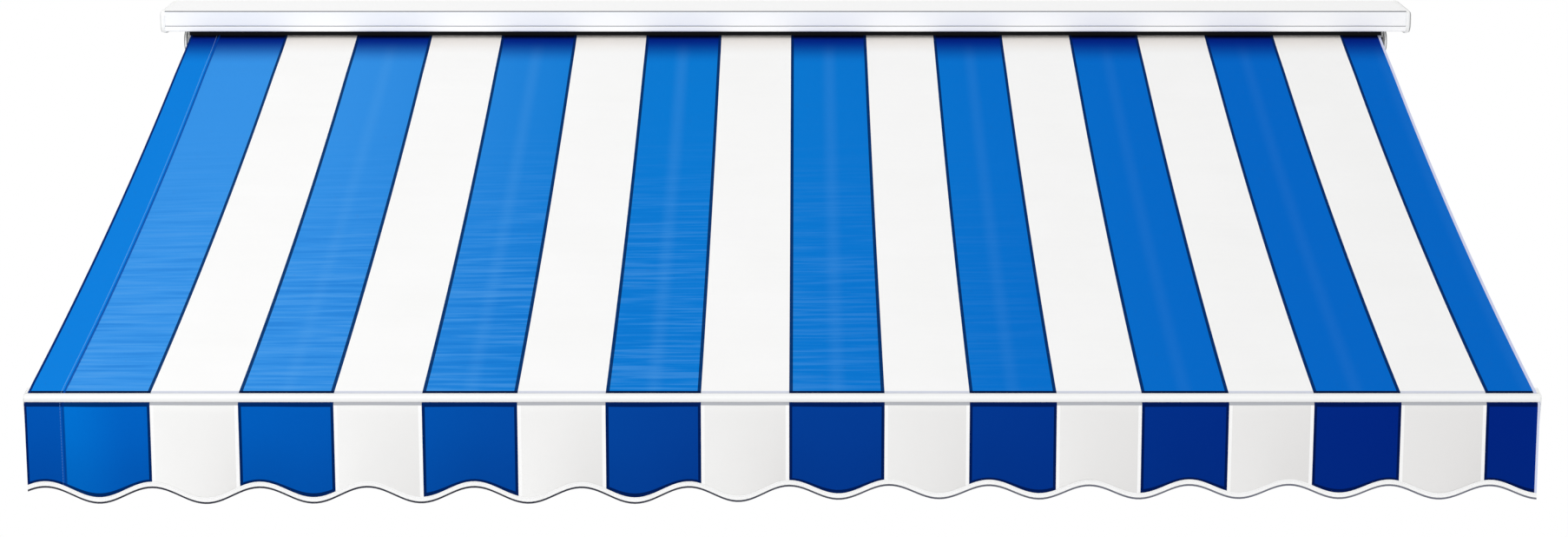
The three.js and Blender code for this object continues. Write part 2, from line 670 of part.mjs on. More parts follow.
// A bolt across the lugs with a hexagon head at each end
function crossBolt(radius) {
  const heads = [-1, 1].map((u) => drawn(polygon(HEAD_SHARE * radius, 6), radius, ALONG_X)
    .translate(u * (BASE_WIDTH / 2 + SEAT + radius / 2), 0, 0));
  return join(rod(radius, BASE_WIDTH + 2 * SEAT + radius, ALONG_X), ...heads);
}

// Knuckle: tilts between the lugs and holds the shoulder pin between an upper and a lower ear
const earInner = SHOULDER_EYE_HEIGHT / 2 + RUN;
const earOuter = earInner + KNUCKLE_EAR;

function knuckle() {
  const back = SHOULDER_EYE + SLACK / 2 - KNUCKLE_REACH; // front of the block behind the arm's eye
  const foot = LOCK_RADIUS + LOCK_BOLT + SLACK;
  const plan = outline(
    [at(knuckleHalf, back), at(knuckleHalf, KNUCKLE_BOSS)],
    [at(-knuckleHalf, KNUCKLE_BOSS), at(-knuckleHalf, back)],
    arc(0, -KNUCKLE_REACH, SHOULDER_EYE + EAR_RIM, 180, 360),
  );
  const profile = outline(
    [at(-2 * KNUCKLE_REACH, earOuter), at(-2 * KNUCKLE_REACH, -earOuter), at(back, -earOuter)],
    [at(-KNUCKLE_BOSS, -foot), at(KNUCKLE_BOSS - EAR_RIM, -foot)],
    arc(0, 0, KNUCKLE_BOSS, 0, 90),
    [at(-KNUCKLE_BOSS, earOuter)],
  );
  const body = common(drawn(plan, 4 * foot, ALONG_Z), drawn(profile, BASE_WIDTH, ALONG_X));
  const mouth = block(4 * knuckleHalf, 4 * KNUCKLE_REACH, 2 * earInner, 0, back - 2 * KNUCKLE_REACH, 0);
  const pin = rod(PIN_RADIUS + SEAT, 4 * foot, ALONG_Z).translate(0, -KNUCKLE_REACH, 0);
  const pivot = rod(PITCH_BOLT + RUN, BASE_WIDTH, ALONG_X);
  const lock = rod(LOCK_BOLT + SEAT, BASE_WIDTH, ALONG_X).translate(0, 0, -LOCK_RADIUS);
  return cut(body, mouth, pin, pivot, lock);
}

// A pin along Z with a flat head at each end
function headedPin(radius, grip) {
  const heads = [-1, 1].map((u) => rod(PIN_HEAD, PIN_HEAD_HEIGHT, ALONG_Z)
    .translate(0, 0, u * (grip / 2 + SEAT + PIN_HEAD_HEIGHT / 2)));
  return join(rod(radius, grip + 2 * SEAT + PIN_HEAD_HEIGHT, ALONG_Z), ...heads);
}

// Arm profiles: rounded hollow sections, closed by the castings that plug into their ends
function armTube(width, height, from, to) {
  const section = roundedBox(width, height, ARM_CORNER);
  section.holes.push(roundedBox(width - 2 * ARM_WALL, height - 2 * ARM_WALL, ARM_CORNER - ARM_WALL));
  return drawn(section, to - from - 2 * SEAT, ALONG_Y).translate(0, -(from + to) / 2, 0);
}

// The end of a casting that lies flush with the profile, and the plug inside it; they run towards -Y
function socket(width, height) {
  const collar = drawn(roundedBox(width, height, ARM_CORNER), COLLAR, ALONG_Y)
    .translate(0, COLLAR / 2 - CAST_REACH, 0);
  const inset = ARM_WALL + SEAT;
  const section = roundedBox(width - 2 * inset, height - 2 * inset, ARM_CORNER - inset);
  const plug = drawn(section, PLUG + LAP, ALONG_Y).translate(0, (LAP - PLUG) / 2 - CAST_REACH, 0);
  return join(collar, plug);
}

function shoulderJoint() {
  const half = UPPER_WIDTH / 2;
  const end = LAP - CAST_REACH;
  const plan = outline(arc(0, 0, SHOULDER_EYE, -10, 190), [at(-half, end), at(half, end)]);
  const body = drawn(plan, SHOULDER_EYE_HEIGHT, ALONG_Z, { bevel: CAST_EDGE });
  const hole = rod(PIN_RADIUS + RUN, 2 * SHOULDER_EYE_HEIGHT, ALONG_Z);
  return cut(join(body, socket(UPPER_WIDTH, UPPER_HEIGHT)), hole);
}

// Elbow and wrist castings: an eye on the pin and a neck that sweeps over to the profile beside it
function neck(eye, offset, width, height) {
  const near = offset - width / 2;
  const far = offset + width / 2;
  const end = LAP - CAST_REACH;
  const plan = outline(
    arc(0, 0, eye, 20, 200),
    [at(Math.min(near, LAP), -eye - SLACK), at(near, end), at(far, end), at(far, COLLAR - CAST_REACH)],
  );
  const body = drawn(plan, height, ALONG_Z, { bevel: CAST_EDGE });
  return join(body, socket(width, height).translate(offset, 0, 0));
}

function fork(eye, offset, width, height) {
  const room = rod(eye + EYE_ROOM, TONGUE + 2 * RUN, ALONG_Z);
  const hole = rod(PIN_RADIUS + SEAT, 2 * height, ALONG_Z);
  return cut(neck(eye, offset, width, height), room, hole);
}

function tongue(eye, offset, width, height, pin) {
  const rooms = [-1, 1].map((u) => rod(eye + EYE_ROOM, height, ALONG_Z)
    .translate(0, 0, (u * (TONGUE + height)) / 2));
  return cut(neck(eye, offset, width, height), ...rooms, rod(pin + RUN, 2 * height, ALONG_Z));
}

// Spring in the upper arm, with the rod that pulls on the elbow
function armSpring() {
  const start = CAST_REACH + PLUG + SEAT;
  const end = UPPER_RUN - CAST_REACH - PLUG - SEAT;
  const coils = Math.round(SPRING_LENGTH / (2 * SPRING_WIRE));
  const ridges = Array.from({ length: coils }, (_, i) => [
    at(SPRING_RADIUS - SPRING_WIRE / 2, start + (2 * i) * SPRING_WIRE),
    at(SPRING_RADIUS, start + (2 * i + 1) * SPRING_WIRE),
  ]).flat();
  const last = start + 2 * coils * SPRING_WIRE;
  const profile = [at(0, start), ...ridges, at(PULL_ROD, last), at(PULL_ROD, end), at(0, end)];
  return new THREE.LatheGeometry(profile, SPRING_SIDES).rotateX(Math.PI);
}

// The outer end of an arm half faces the other way from its inner end
function facingBack(geometry) {
  return surface(solid(geometry).mirror([0, 1, 0]));
}

for (const name of ['left', 'right']) {
  const fixed = side(awning, name);
  const base = new THREE.Group();
  base.position.x = -SHOULDER_X;
  fixed.add(base);
  place(`arm_base_${name}`, armBase(), WHITE, base);
  place(`pitch_bolt_${name}`, crossBolt(PITCH_BOLT).translate(0, PITCH_BOLT_Y, PITCH_BOLT_Z), STEEL, base);

  const arms = side(tilted, name);
  const root = new THREE.Group();
  root.position.x = -SHOULDER_X;
  arms.add(root);
  place(`arm_knuckle_${name}`, knuckle(), WHITE, root);
  place(`pitch_lock_bolt_${name}`, crossBolt(LOCK_BOLT).translate(0, 0, -LOCK_RADIUS), STEEL, root);
  const shoulderPin = headedPin(PIN_RADIUS, 2 * earOuter).translate(0, -KNUCKLE_REACH, 0);
  place(`shoulder_pin_${name}`, shoulderPin, STEEL, root);

  const upper = new THREE.Group();
  upper.position.set(-SHOULDER_X, -KNUCKLE_REACH, 0);
  upper.rotation.z = deg(UPPER_TURN);
  arms.add(upper);
  const upperTube = armTube(UPPER_WIDTH, UPPER_HEIGHT, CAST_REACH, UPPER_RUN - CAST_REACH);
  const elbowFork = facingBack(fork(ELBOW_EYE, UPPER_OFFSET, UPPER_WIDTH, UPPER_HEIGHT));
  place(`shoulder_joint_${name}`, shoulderJoint(), WHITE, upper);
  place(`upper_arm_${name}`, upperTube, WHITE, upper);
  const elbowPin = headedPin(PIN_RADIUS, UPPER_HEIGHT);
  place(`elbow_fork_${name}`, elbowFork.translate(-UPPER_OFFSET, -UPPER_RUN, 0), WHITE, upper);
  place(`elbow_pin_${name}`, elbowPin.translate(-UPPER_OFFSET, -UPPER_RUN, 0), STEEL, upper);
  place(`arm_spring_${name}`, armSpring(), STEEL, upper);

  const fore = new THREE.Group();
  fore.position.set(-ELBOW_X, ELBOW_Y, 0);
  fore.rotation.z = deg(FORE_TURN);
  arms.add(fore);
  const foreTube = armTube(FORE_WIDTH, FORE_HEIGHT, CAST_REACH, FORE_RUN - CAST_REACH);
  const elbowTongue = tongue(ELBOW_EYE, FORE_OFFSET, FORE_WIDTH, FORE_HEIGHT, PIN_RADIUS);
  const wristEye = facingBack(tongue(WRIST_EYE, 0, FORE_WIDTH, FORE_HEIGHT, WRIST_PIN));
  place(`elbow_tongue_${name}`, elbowTongue, WHITE, fore);
  place(`forearm_${name}`, foreTube.translate(FORE_OFFSET, 0, 0), WHITE, fore);
  place(`wrist_eye_${name}`, wristEye.translate(FORE_OFFSET, -FORE_RUN, 0), WHITE, fore);

  const wrist = new THREE.Group();
  wrist.position.set(-SHOULDER_X, WRIST_Y, 0);
  arms.add(wrist);
  place(`wrist_bracket_${name}`, wristBracket(), WHITE, wrist);
  place(`wrist_pin_${name}`, headedPin(WRIST_PIN, TONGUE + 2 * RUN + 2 * WRIST_EAR), STEEL, wrist);
}

// Wrist bracket: a plate on the back of the front bar with two ears for the wrist pin
function wristBracket() {
  const plateFront = -WRIST_TO_BAR + SEAT;
  const plateBack = plateFront + WRIST_PLATE;
  const height = FRONT_TOP - FRONT_BOTTOM - 2 * FRONT_ROUND;
  const plate = drawn(roundedBox(2 * WRIST_TO_BAR, height, FRONT_ROUND), WRIST_PLATE, ALONG_Y)
    .translate(0, (plateFront + plateBack) / 2, (FRONT_TOP + FRONT_BOTTOM) / 2);
  const earHalf = WRIST_EYE + EAR_RIM;
  const earFoot = plateBack - LAP;
  const ear = outline(arc(0, 0, earHalf, 0, 180), [at(-earHalf, earFoot), at(earHalf, earFoot)]);
  const ears = [-1, 1].map((u) => drawn(ear, WRIST_EAR, ALONG_Z)
    .translate(0, 0, u * (TONGUE / 2 + RUN + WRIST_EAR / 2)));
  return cut(join(plate, ...ears), rod(WRIST_PIN + SEAT, 4 * TONGUE, ALONG_Z));
}

// Front bar: a hollow extrusion with a welt groove on top for the cloth and one in front for the valance
const clothGrooveY = FRONT_BACK_Y - CLOTH_GROOVE;
const valanceGrooveZ = FRONT_TOP - VALANCE_GROOVE;
const clothWelt = at(clothGrooveY, FRONT_TOP - WELT_DEPTH);
const valanceWelt = at(FRONT_FACE_Y + WELT_DEPTH, valanceGrooveZ);

function frontSection(inset) {
  const height = FRONT_TOP - FRONT_BOTTOM - 2 * inset;
  const middle = at((FRONT_BACK_Y + FRONT_FACE_Y) / 2, (FRONT_TOP + FRONT_BOTTOM) / 2);
  return roundedBox(FRONT_DEPTH - 2 * inset, height, FRONT_ROUND - inset, middle.x, middle.y);
}

function frontBar() {
  const length = 2 * FRONT_HALF;
  const past = 2 * length; // longer than the bar
  const shell = frontSection(0);
  shell.holes.push(frontSection(FRONT_WALL));
  const welts = [clothWelt, valanceWelt];
  const sleeve = WELT_BORE + WELT_WALL;
  const sleeves = welts.map((welt) => rod(sleeve, length, ALONG_X).translate(0, welt.x, welt.y));
  const limit = drawn(frontSection(FRONT_WALL / 2), length, ALONG_X);
  const bores = welts.map((welt) => rod(WELT_BORE, past, ALONG_X).translate(0, welt.x, welt.y));
  const topSlit = block(past, WELT_SLIT, 2 * WELT_DEPTH, 0, clothWelt.x, FRONT_TOP);
  const frontSlit = block(past, 2 * WELT_DEPTH, WELT_SLIT, 0, FRONT_FACE_Y, valanceWelt.y);
  const inner = sleeves.map((piece) => common(piece, limit));
  return cut(join(drawn(shell, length, ALONG_X), ...inner), ...bores, topSlit, frontSlit);
}

place('front_bar', frontBar(), WHITE, tilted);
for (const [name, sign] of [['left', -1], ['right', 1]]) {
  const cap = drawn(frontSection(0), FRONT_CAP, ALONG_X, { bevel: FRONT_CAP_EDGE });
  cap.translate(sign * (FRONT_HALF + SEAT + FRONT_CAP / 2), 0, 0);
  place(`front_bar_cap_${name}`, cap, PLASTIC, tilted);
}
const weltRod = (welt, half) => rod(WELT_RADIUS, 2 * half, ALONG_X).translate(0, welt.x, welt.y);
place('cloth_welt_rod', weltRod(clothWelt, CLOTH_WIDTH / 2), PLASTIC, tilted);
place('valance_welt_rod', weltRod(valanceWelt, VALANCE_HALF), PLASTIC, tilted);

// Cloth: from the top of the roll, hanging a little, down into the front bar's upper groove
function untilted(point) {
  const turned = point.clone().rotateAround(at(0, 0), deg(PITCH));
  return at(turned.x + PITCH_BOLT_Y, turned.y + PITCH_BOLT_Z);
}

const clothRound = ROLL_RADIUS + SEAT + CLOTH_THICK / 2;
const grooveMouth = untilted(at(clothWelt.x, FRONT_TOP + CLOTH_THICK));
const grooveFoot = untilted(at(clothWelt.x, clothWelt.y + WELT_RADIUS + SEAT));
const rollerAxis = at(ROLLER_Y, ROLLER_Z);
const toGroove = rollerAxis.clone().sub(grooveMouth);
const chordSlope = Math.atan2(toGroove.y, toGroove.x) + Math.asin(clothRound / toGroove.length());
const leaveSlope = chordSlope + Math.atan((4 * CLOTH_SAG) / toGroove.length());
const leaveAngle = 90 + THREE.MathUtils.radToDeg(leaveSlope);

function clothPath() {
  const wrap = arc(ROLLER_Y, ROLLER_Z, clothRound, leaveAngle - ROLL_WRAP, leaveAngle);
  const leave = wrap.at(-1);
  const fall = Array.from({ length: SAG_STEPS }, (_, i) => {
    const share = (i + 1) / SAG_STEPS;
    const point = leave.clone().lerp(grooveMouth, share);
    return at(point.x, point.y - 4 * CLOTH_SAG * share * (1 - share));
  });
  return [...wrap, ...fall, grooveFoot];
}

place('canopy', striped(drawnAt(sheet(clothPath(), CLOTH_THICK), STRIPE_EDGES)), CLOTH, awning);

// Valance: hooked into the front groove, hanging straight down to a wavy edge with a binding folded over it
const valanceTop = untilted(at(FRONT_FACE_Y, valanceWelt.y));
const valanceHook = untilted(at(valanceWelt.x - WELT_RADIUS - SEAT, valanceWelt.y));
const valanceY = valanceTop.x - SLACK / 2;
const valanceFoot = valanceTop.y - VALANCE_DROP;

function wave(x) {
  const crest = SCALLOP_START - VALANCE_HALF;
  return SCALLOP_HEIGHT * Math.cos((2 * Math.PI * (x - crest)) / SCALLOP_PITCH);
}

// Where the valance's section is set out: along the wave, at its ends and at each stripe's edge
function valanceStations() {
  const step = SCALLOP_PITCH / SCALLOP_STEPS;
  const first = -VALANCE_HALF + (SCALLOP_START % step);
  const count = Math.ceil((VALANCE_HALF - first) / step);
  const waves = Array.from({ length: count }, (_, i) => first + i * step);
  const all = [-VALANCE_HALF, ...waves, ...STRIPE_EDGES.slice(1, -1), VALANCE_HALF].sort((a, b) => a - b);
  return all.filter((x, i) => i === 0 || x - all[i - 1] > CLOTH_THICK);
}

// Moves what lies at or below a level up and down with the wave
function wavy(geometry, level) {
  const position = geometry.getAttribute('position');
  for (let i = 0; i < position.count; i += 1) {
    if (position.getZ(i) < level) {
      position.setZ(i, position.getZ(i) + wave(position.getX(i)));
    }
  }
  geometry.computeVertexNormals();
  return geometry;
}

function valance() {
  const path = [valanceHook, at(valanceY, valanceTop.y - CLOTH_THICK), at(valanceY, valanceFoot)];
  const geometry = drawnAt(sheet(path, CLOTH_THICK), valanceStations());
  return striped(wavy(geometry, valanceFoot + BINDING_HEIGHT));
}

function binding() {
  const inner = CLOTH_THICK / 2 + SEAT;
  const outer = inner + BINDING_THICK;
  const top = valanceFoot + BINDING_HEIGHT;
  const low = valanceFoot - SEAT;
  const section = outline([
    at(valanceY - outer, top),
    at(valanceY - outer, low - BINDING_THICK),
    at(valanceY + outer, low - BINDING_THICK),
    at(valanceY + outer, top),
    at(valanceY + inner, top),
    at(valanceY + inner, low),
    at(valanceY - inner, low),
    at(valanceY - inner, top),
  ]);
  return wavy(drawnAt(section, valanceStations()), top + 1);
}

place('valance', valance(), CLOTH, awning);
place('valance_binding', binding(), BINDING, awning);

export default awning;
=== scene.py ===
# %% [markdown]
# # A hooded folding-arm awning
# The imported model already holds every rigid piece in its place: brackets, torsion bar, hood, roller, arms and
# front bar. This script loads it as a fixed frame and adds what makes the awning look real: the cloth, the
# valance with its binding, the turns of cloth on the roller, the screws and all the finishes. Everything is
# in metres, +X runs to the right along the hood, +Y into the wall and +Z up.

# %% Load the frame
import json
import math
import bmesh
import bpy
from mathutils import Matrix, Vector


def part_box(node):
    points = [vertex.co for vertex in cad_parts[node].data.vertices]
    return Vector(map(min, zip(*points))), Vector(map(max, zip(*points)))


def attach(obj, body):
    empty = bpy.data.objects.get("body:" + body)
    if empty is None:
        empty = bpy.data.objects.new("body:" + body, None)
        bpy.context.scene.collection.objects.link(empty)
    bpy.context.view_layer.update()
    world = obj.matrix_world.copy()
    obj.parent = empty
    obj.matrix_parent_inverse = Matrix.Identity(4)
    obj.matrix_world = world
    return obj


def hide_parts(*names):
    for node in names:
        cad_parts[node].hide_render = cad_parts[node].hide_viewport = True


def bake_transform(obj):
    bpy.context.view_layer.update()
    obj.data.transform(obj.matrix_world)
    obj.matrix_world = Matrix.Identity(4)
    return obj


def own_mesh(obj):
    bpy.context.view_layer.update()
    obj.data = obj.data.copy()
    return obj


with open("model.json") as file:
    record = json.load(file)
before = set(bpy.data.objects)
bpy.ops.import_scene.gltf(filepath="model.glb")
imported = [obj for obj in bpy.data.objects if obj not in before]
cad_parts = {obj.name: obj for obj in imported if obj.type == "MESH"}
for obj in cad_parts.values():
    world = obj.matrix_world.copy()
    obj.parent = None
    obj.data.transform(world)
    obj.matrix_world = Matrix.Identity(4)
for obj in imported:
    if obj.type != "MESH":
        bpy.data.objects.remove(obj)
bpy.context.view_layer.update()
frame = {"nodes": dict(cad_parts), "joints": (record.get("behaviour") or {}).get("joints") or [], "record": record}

# %% [markdown]
# Almost every place that follows is read from the frame, so a few helpers come first. One gives the middle of
# a node, one clears the selection, because an operator acts on all that is selected, and one applies a
# modifier as a modeller would by hand.

# %% Helpers for places and selections
def middle(node):
    low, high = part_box(node)
    return (Vector(low) + Vector(high)) / 2


def deselect():
    if bpy.context.object and bpy.context.object.mode != "OBJECT":
        bpy.ops.object.mode_set(mode="OBJECT")
    bpy.ops.object.select_all(action="DESELECT")


def alone(piece):
    deselect()
    piece.select_set(True)
    bpy.context.view_layer.objects.active = piece


def apply_modifier(piece, kind, **settings):
    alone(piece)
    modifier = piece.modifiers.new(kind.title(), kind)
    for name, value in settings.items():
        setattr(modifier, name, value)
    bpy.ops.object.modifier_apply(modifier=modifier.name)


print("hood middle:", tuple(round(v, 3) for v in middle("hood")))

# %% [markdown]
# ## Stage
# The picture has a white ground, and the awning hangs well above the floor. A pale disc two metres below
# keeps the shadow, and it fades to white at its rim so that it has no hard edge from any side. The world is
# white for what the camera sees, and a softer light for everything else.

# %% Floor disc
FLOOR_Y, FLOOR_Z = -1.0, -2.2
FLOOR_RADIUS = 4.3
FLOOR_RIM = 0.4
deselect()
bpy.ops.mesh.primitive_circle_add(vertices=128, radius=FLOOR_RADIUS, fill_type="NGON",
                                  location=(0, FLOOR_Y, FLOOR_Z))
floor = bpy.context.object
floor.name = "floor"
bpy.ops.object.transform_apply(location=True)
bpy.ops.object.mode_set(mode="EDIT")
bpy.ops.mesh.select_all(action="SELECT")
bpy.ops.mesh.inset(thickness=FLOOR_RIM)
deselect()
print("floor at", FLOOR_Z, "m")

# %% [markdown]
# ## Shader maths
# Node trees are easier to read as sums. A wire holds one socket, the usual signs add Math nodes to its tree,
# and one method adds any other node: its settings first, then the values or wires of its sockets.

# %% Wires
class Wire:
    def __init__(self, tree, socket=None):
        self.tree = tree
        self.socket = socket

    def node(self, kind, settings=None, inputs=None, output=0):
        made = self.tree.nodes.new(kind)
        for name, value in (settings or {}).items():
            setattr(made, name, value)
        for name, value in (inputs or {}).items():
            if isinstance(value, Wire):
                self.tree.links.new(value.socket, made.inputs[name])
            else:
                made.inputs[name].default_value = value
        return Wire(self.tree, made.outputs[output])

    def math(self, operation, first, second=0.0):
        return self.node("ShaderNodeMath", {"operation": operation}, {0: first, 1: second})

    def __add__(self, other):
        return self.math("ADD", self, other)

    def __sub__(self, other):
        return self.math("SUBTRACT", self, other)

    def __rsub__(self, other):
        return self.math("SUBTRACT", other, self)

    def __mul__(self, other):
        return self.math("MULTIPLY", self, other)

    def __truediv__(self, other):
        return self.math("DIVIDE", self, other)

    def __mod__(self, other):
        return self.math("FLOORED_MODULO", self, other)

    def __lt__(self, other):
        return self.math("LESS_THAN", self, other)

    def __gt__(self, other):
        return self.math("GREATER_THAN", self, other)

    def __abs__(self):
        return self.math("ABSOLUTE", self)

    __radd__ = __add__
    __rmul__ = __mul__

    def ramp(self, low, high):
        sockets = {"Value": self, "From Min": low, "From Max": high}
        return self.node("ShaderNodeMapRange", {"interpolation_type": "SMOOTHSTEP"}, sockets)

    def line(self, low, high):
        return self.node("ShaderNodeMapRange", None, {"Value": self, "From Min": low, "From Max": high})

    def between(self, first, second):
        return self.node("ShaderNodeMix", {"data_type": "RGBA"}, {0: self, 6: first, 7: second}, 2)

    def feed(self, shader, name):
        self.tree.links.new(self.socket, shader.inputs[name])


def srgb(red, green, blue):
    def linear(value):
        value /= 255
        return value / 12.92 if value <= 0.04045 else ((value + 0.055) / 1.055) ** 2.4
    return (linear(red), linear(green), linear(blue), 1.0)


def start(name, **constants):
    material = bpy.data.materials.new(name)
    material.use_nodes = True
    shader = material.node_tree.nodes["Principled BSDF"]
    for socket, value in constants.items():
        shader.inputs[socket.replace("_", " ")].default_value = value
    return material, shader, Wire(material.node_tree)


def object_axes(wires):
    place = wires.node("ShaderNodeTexCoord", output="Object")
    split = place.node("ShaderNodeSeparateXYZ", None, {0: place})
    outputs = split.socket.node.outputs
    return place, [Wire(wires.tree, outputs[axis]) for axis in "XYZ"]


def noise(place, scale, detail=2.0):
    return place.node("ShaderNodeTexNoise", None, {"Vector": place, "Scale": scale, "Detail": detail})


def bump(height, strength, distance):
    sockets = {"Strength": strength, "Distance": distance, "Height": height}
    return height.node("ShaderNodeBump", None, sockets)


print("half grey is", round(srgb(128, 128, 128)[0], 3), "in linear light")

# %% Floor finish and world
FADE_START, FADE_END = 2.1, 4.0
FLOOR_DULL, FLOOR_BRIGHT = srgb(240, 240, 240), srgb(246, 246, 246)
FLOOR_GRAIN = 6.0
floor_finish, floor_shader, wires = start("pale_floor", Roughness=0.9)
place, (x, y, _) = object_axes(wires)
far = wires.math("SQRT", x * x + (y - FLOOR_Y) * (y - FLOOR_Y))
grain = noise(place, FLOOR_GRAIN, detail=4.0)
grain.between(FLOOR_DULL, FLOOR_BRIGHT).feed(floor_shader, "Base Color")
white = wires.node("ShaderNodeEmission", None, {"Color": (1, 1, 1, 1), "Strength": 1.0})
rim = far.ramp(FADE_START, FADE_END)
shown = wires.node("ShaderNodeMixShader", None, {0: rim, 2: white})
wires.tree.links.new(floor_shader.outputs[0], shown.socket.node.inputs[1])
shown.feed(wires.tree.nodes["Material Output"], "Surface")
floor.data.materials.append(floor_finish)

AMBIENT = 0.72
world = bpy.data.worlds.new("studio")
world.use_nodes = True
bpy.context.scene.world = world
sky = Wire(world.node_tree)
rays = sky.node("ShaderNodeLightPath").socket.node.outputs
seen = sum((Wire(sky.tree, rays[f"Is {kind} Ray"]) for kind in ("Glossy", "Transmission")),
           Wire(sky.tree, rays["Is Camera Ray"])).line(0, 1)
lamp = sky.tree.nodes["Background"]
lamp.inputs["Color"].default_value = (1, 1, 1, 1)
(AMBIENT + seen * (1 - AMBIENT)).feed(lamp, "Strength")
print("world light:", AMBIENT)

# %% [markdown]
# ## Lamps
# The light comes from the left, high in front: the cloth is a little brighter than the valance, and the left
# side a little brighter than the right. One large soft lamp does that, and a weak, wide sun from the front
# lifts the upright faces of hood, bar and valance.

# %% Key lamp and front light
KEY_POWER = 122
KEY_SIZE = 4.0
KEY_PLACE = Vector((-3.5, -4.5, 4.7))
KEY_AIM = Vector((0, -1.0, -0.2))
FRONT_LIGHT = 0.5
FRONT_SPREAD = math.radians(50)
FRONT_WAY = Vector((0.25, 1.0, -0.2))
deselect()
bpy.ops.object.light_add(type="AREA", location=KEY_PLACE)
key = bpy.context.object
key.name = "key_lamp"
key.data.size = KEY_SIZE
key.data.energy = KEY_POWER
key.rotation_euler = (KEY_AIM - KEY_PLACE).to_track_quat("-Z", "Y").to_euler()
bpy.ops.object.light_add(type="SUN", location=(0, -6, 2))
front_light = bpy.context.object
front_light.name = "front_light"
front_light.data.energy = FRONT_LIGHT
front_light.data.angle = FRONT_SPREAD
front_light.rotation_euler = FRONT_WAY.to_track_quat("-Z", "Y").to_euler()
print("key lamp:", KEY_POWER, "W, front light:", FRONT_LIGHT, "W per square metre")

# %% [markdown]
# ## Camera
# The stripes run together towards the hood, the hood's ends and the valance's foot give the scale, and the
# height of each line in the picture gives the pitch. Fitting those lines gave a camera eight metres out from
# the wall, nearly one metre higher than the brackets and looking down nearly eleven degrees.

# %% Camera
IMAGE_WIDTH = 1806
FOCAL_PIXELS = 3748
CENTRE_PIXELS = -16.2
SENSOR = 36.0
CAMERA_PLACE = (0.0306, -8.0678, 0.9921)
CAMERA_TILT = math.radians(79.216)
deselect()
bpy.ops.object.camera_add(location=CAMERA_PLACE, rotation=(CAMERA_TILT, 0, 0))
camera = bpy.context.object
camera.data.sensor_width = SENSOR
camera.data.lens = SENSOR * FOCAL_PIXELS / IMAGE_WIDTH
camera.data.shift_x = CENTRE_PIXELS / IMAGE_WIDTH
bpy.context.scene.camera = camera
bpy.context.scene.view_settings.view_transform = "Standard"
print("lens:", round(camera.data.lens, 1), "mm")

# %% [markdown]
# ## Finishes of the hard pieces
# The extrusions and castings are white powder coat, which has a fine orange peel and a satin gloss. The caps
# and plugs are moulded plastic, duller and with a fine grain. Pins and bolts are zinc-plated steel with a
# cloudy lustre, and the motor and the strip under the hood's lip are black plastic; the black strip also
# stands in for the shade under the lip. Each coat can take a set of painted shade lines.

# %% Powder coat, plastic and steel
# The grey of the painted shade lines on the hood.
HOOD_LINE_SHADE = srgb(96, 100, 106)
CAP_SHADE = srgb(70, 72, 78)
GAP_SHADE = srgb(16, 17, 20)
COAT_CLOUD, COAT_PEEL = 3.0, 650.0
PLASTIC_CLOUD, PLASTIC_GRAIN = 14.0, 1400.0
ZINC_CLOUD, ZINC_GRAIN = 160.0, 1800.0
ZINC_DULL, ZINC_BRIGHT = srgb(170, 172, 176), srgb(214, 214, 212)


def no_lines(x, y, z):
    return []


def powder_coat(name, dull, bright, shaded_lines, shade=HOOD_LINE_SHADE):
    material, shader, wires = start(name, Coat_Roughness=0.2)
    place, (x, y, z) = object_axes(wires)
    cloud = noise(place, COAT_CLOUD, detail=3.0)
    peel = noise(place, COAT_PEEL)
    coat = cloud.between(dull, bright)
    for line in shaded_lines(x, y, z):
        coat = line.between(coat, shade)
    coat.feed(shader, "Base Color")
    (0.3 + 0.16 * cloud).feed(shader, "Roughness")
    (0.15 + 0.1 * peel).feed(shader, "Coat Weight")
    bump(peel, strength=0.08, distance=0.0004).feed(shader, "Normal")
    return material


def moulded(name, dark, light, roughness, gloss, shaded_lines=no_lines):
    material, shader, wires = start(name, Specular_IOR_Level=gloss)
    place, (x, y, z) = object_axes(wires)
    cloud = noise(place, PLASTIC_CLOUD, detail=4.0)
    grain = noise(place, PLASTIC_GRAIN)
    plastic = cloud.between(dark, light)
    for line in shaded_lines(x, y, z):
        plastic = line.between(plastic, CAP_SHADE)
    plastic.feed(shader, "Base Color")
    (roughness + 0.12 * grain).feed(shader, "Roughness")
    bump(grain, strength=0.2, distance=0.0003).feed(shader, "Normal")
    return material


def zinc(name):
    material, shader, wires = start(name)
    place = object_axes(wires)[0]
    cloud = noise(place, ZINC_CLOUD, detail=5.0)
    fine = noise(place, ZINC_GRAIN)
    cloud.between(ZINC_DULL, ZINC_BRIGHT).feed(shader, "Base Color")
    (0.28 + 0.2 * cloud).feed(shader, "Roughness")
    (0.86 + 0.1 * fine).feed(shader, "Metallic")
    bump(fine, strength=0.1, distance=0.0002).feed(shader, "Normal")
    return material


FINISHES = {
    "white_metal": powder_coat("white_powder_coat", srgb(240, 241, 241), srgb(248, 248, 247), no_lines),
    "white_plastic": moulded("white_plastic", srgb(240, 241, 240), srgb(250, 250, 249), 0.42, 0.4),
    "steel": zinc("zinc_steel"),
    "dark_plastic": moulded("black_plastic", srgb(4, 4, 6), srgb(14, 14, 16), 0.7, 0.08),
}
for part in frame["record"]["subparts"]:
    node = frame["nodes"][part["node"]]
    if part["material_slot"] in FINISHES:
        for slot in node.material_slots:
            slot.material = FINISHES[part["material_slot"]]
print("finishes:", ", ".join(FINISHES))
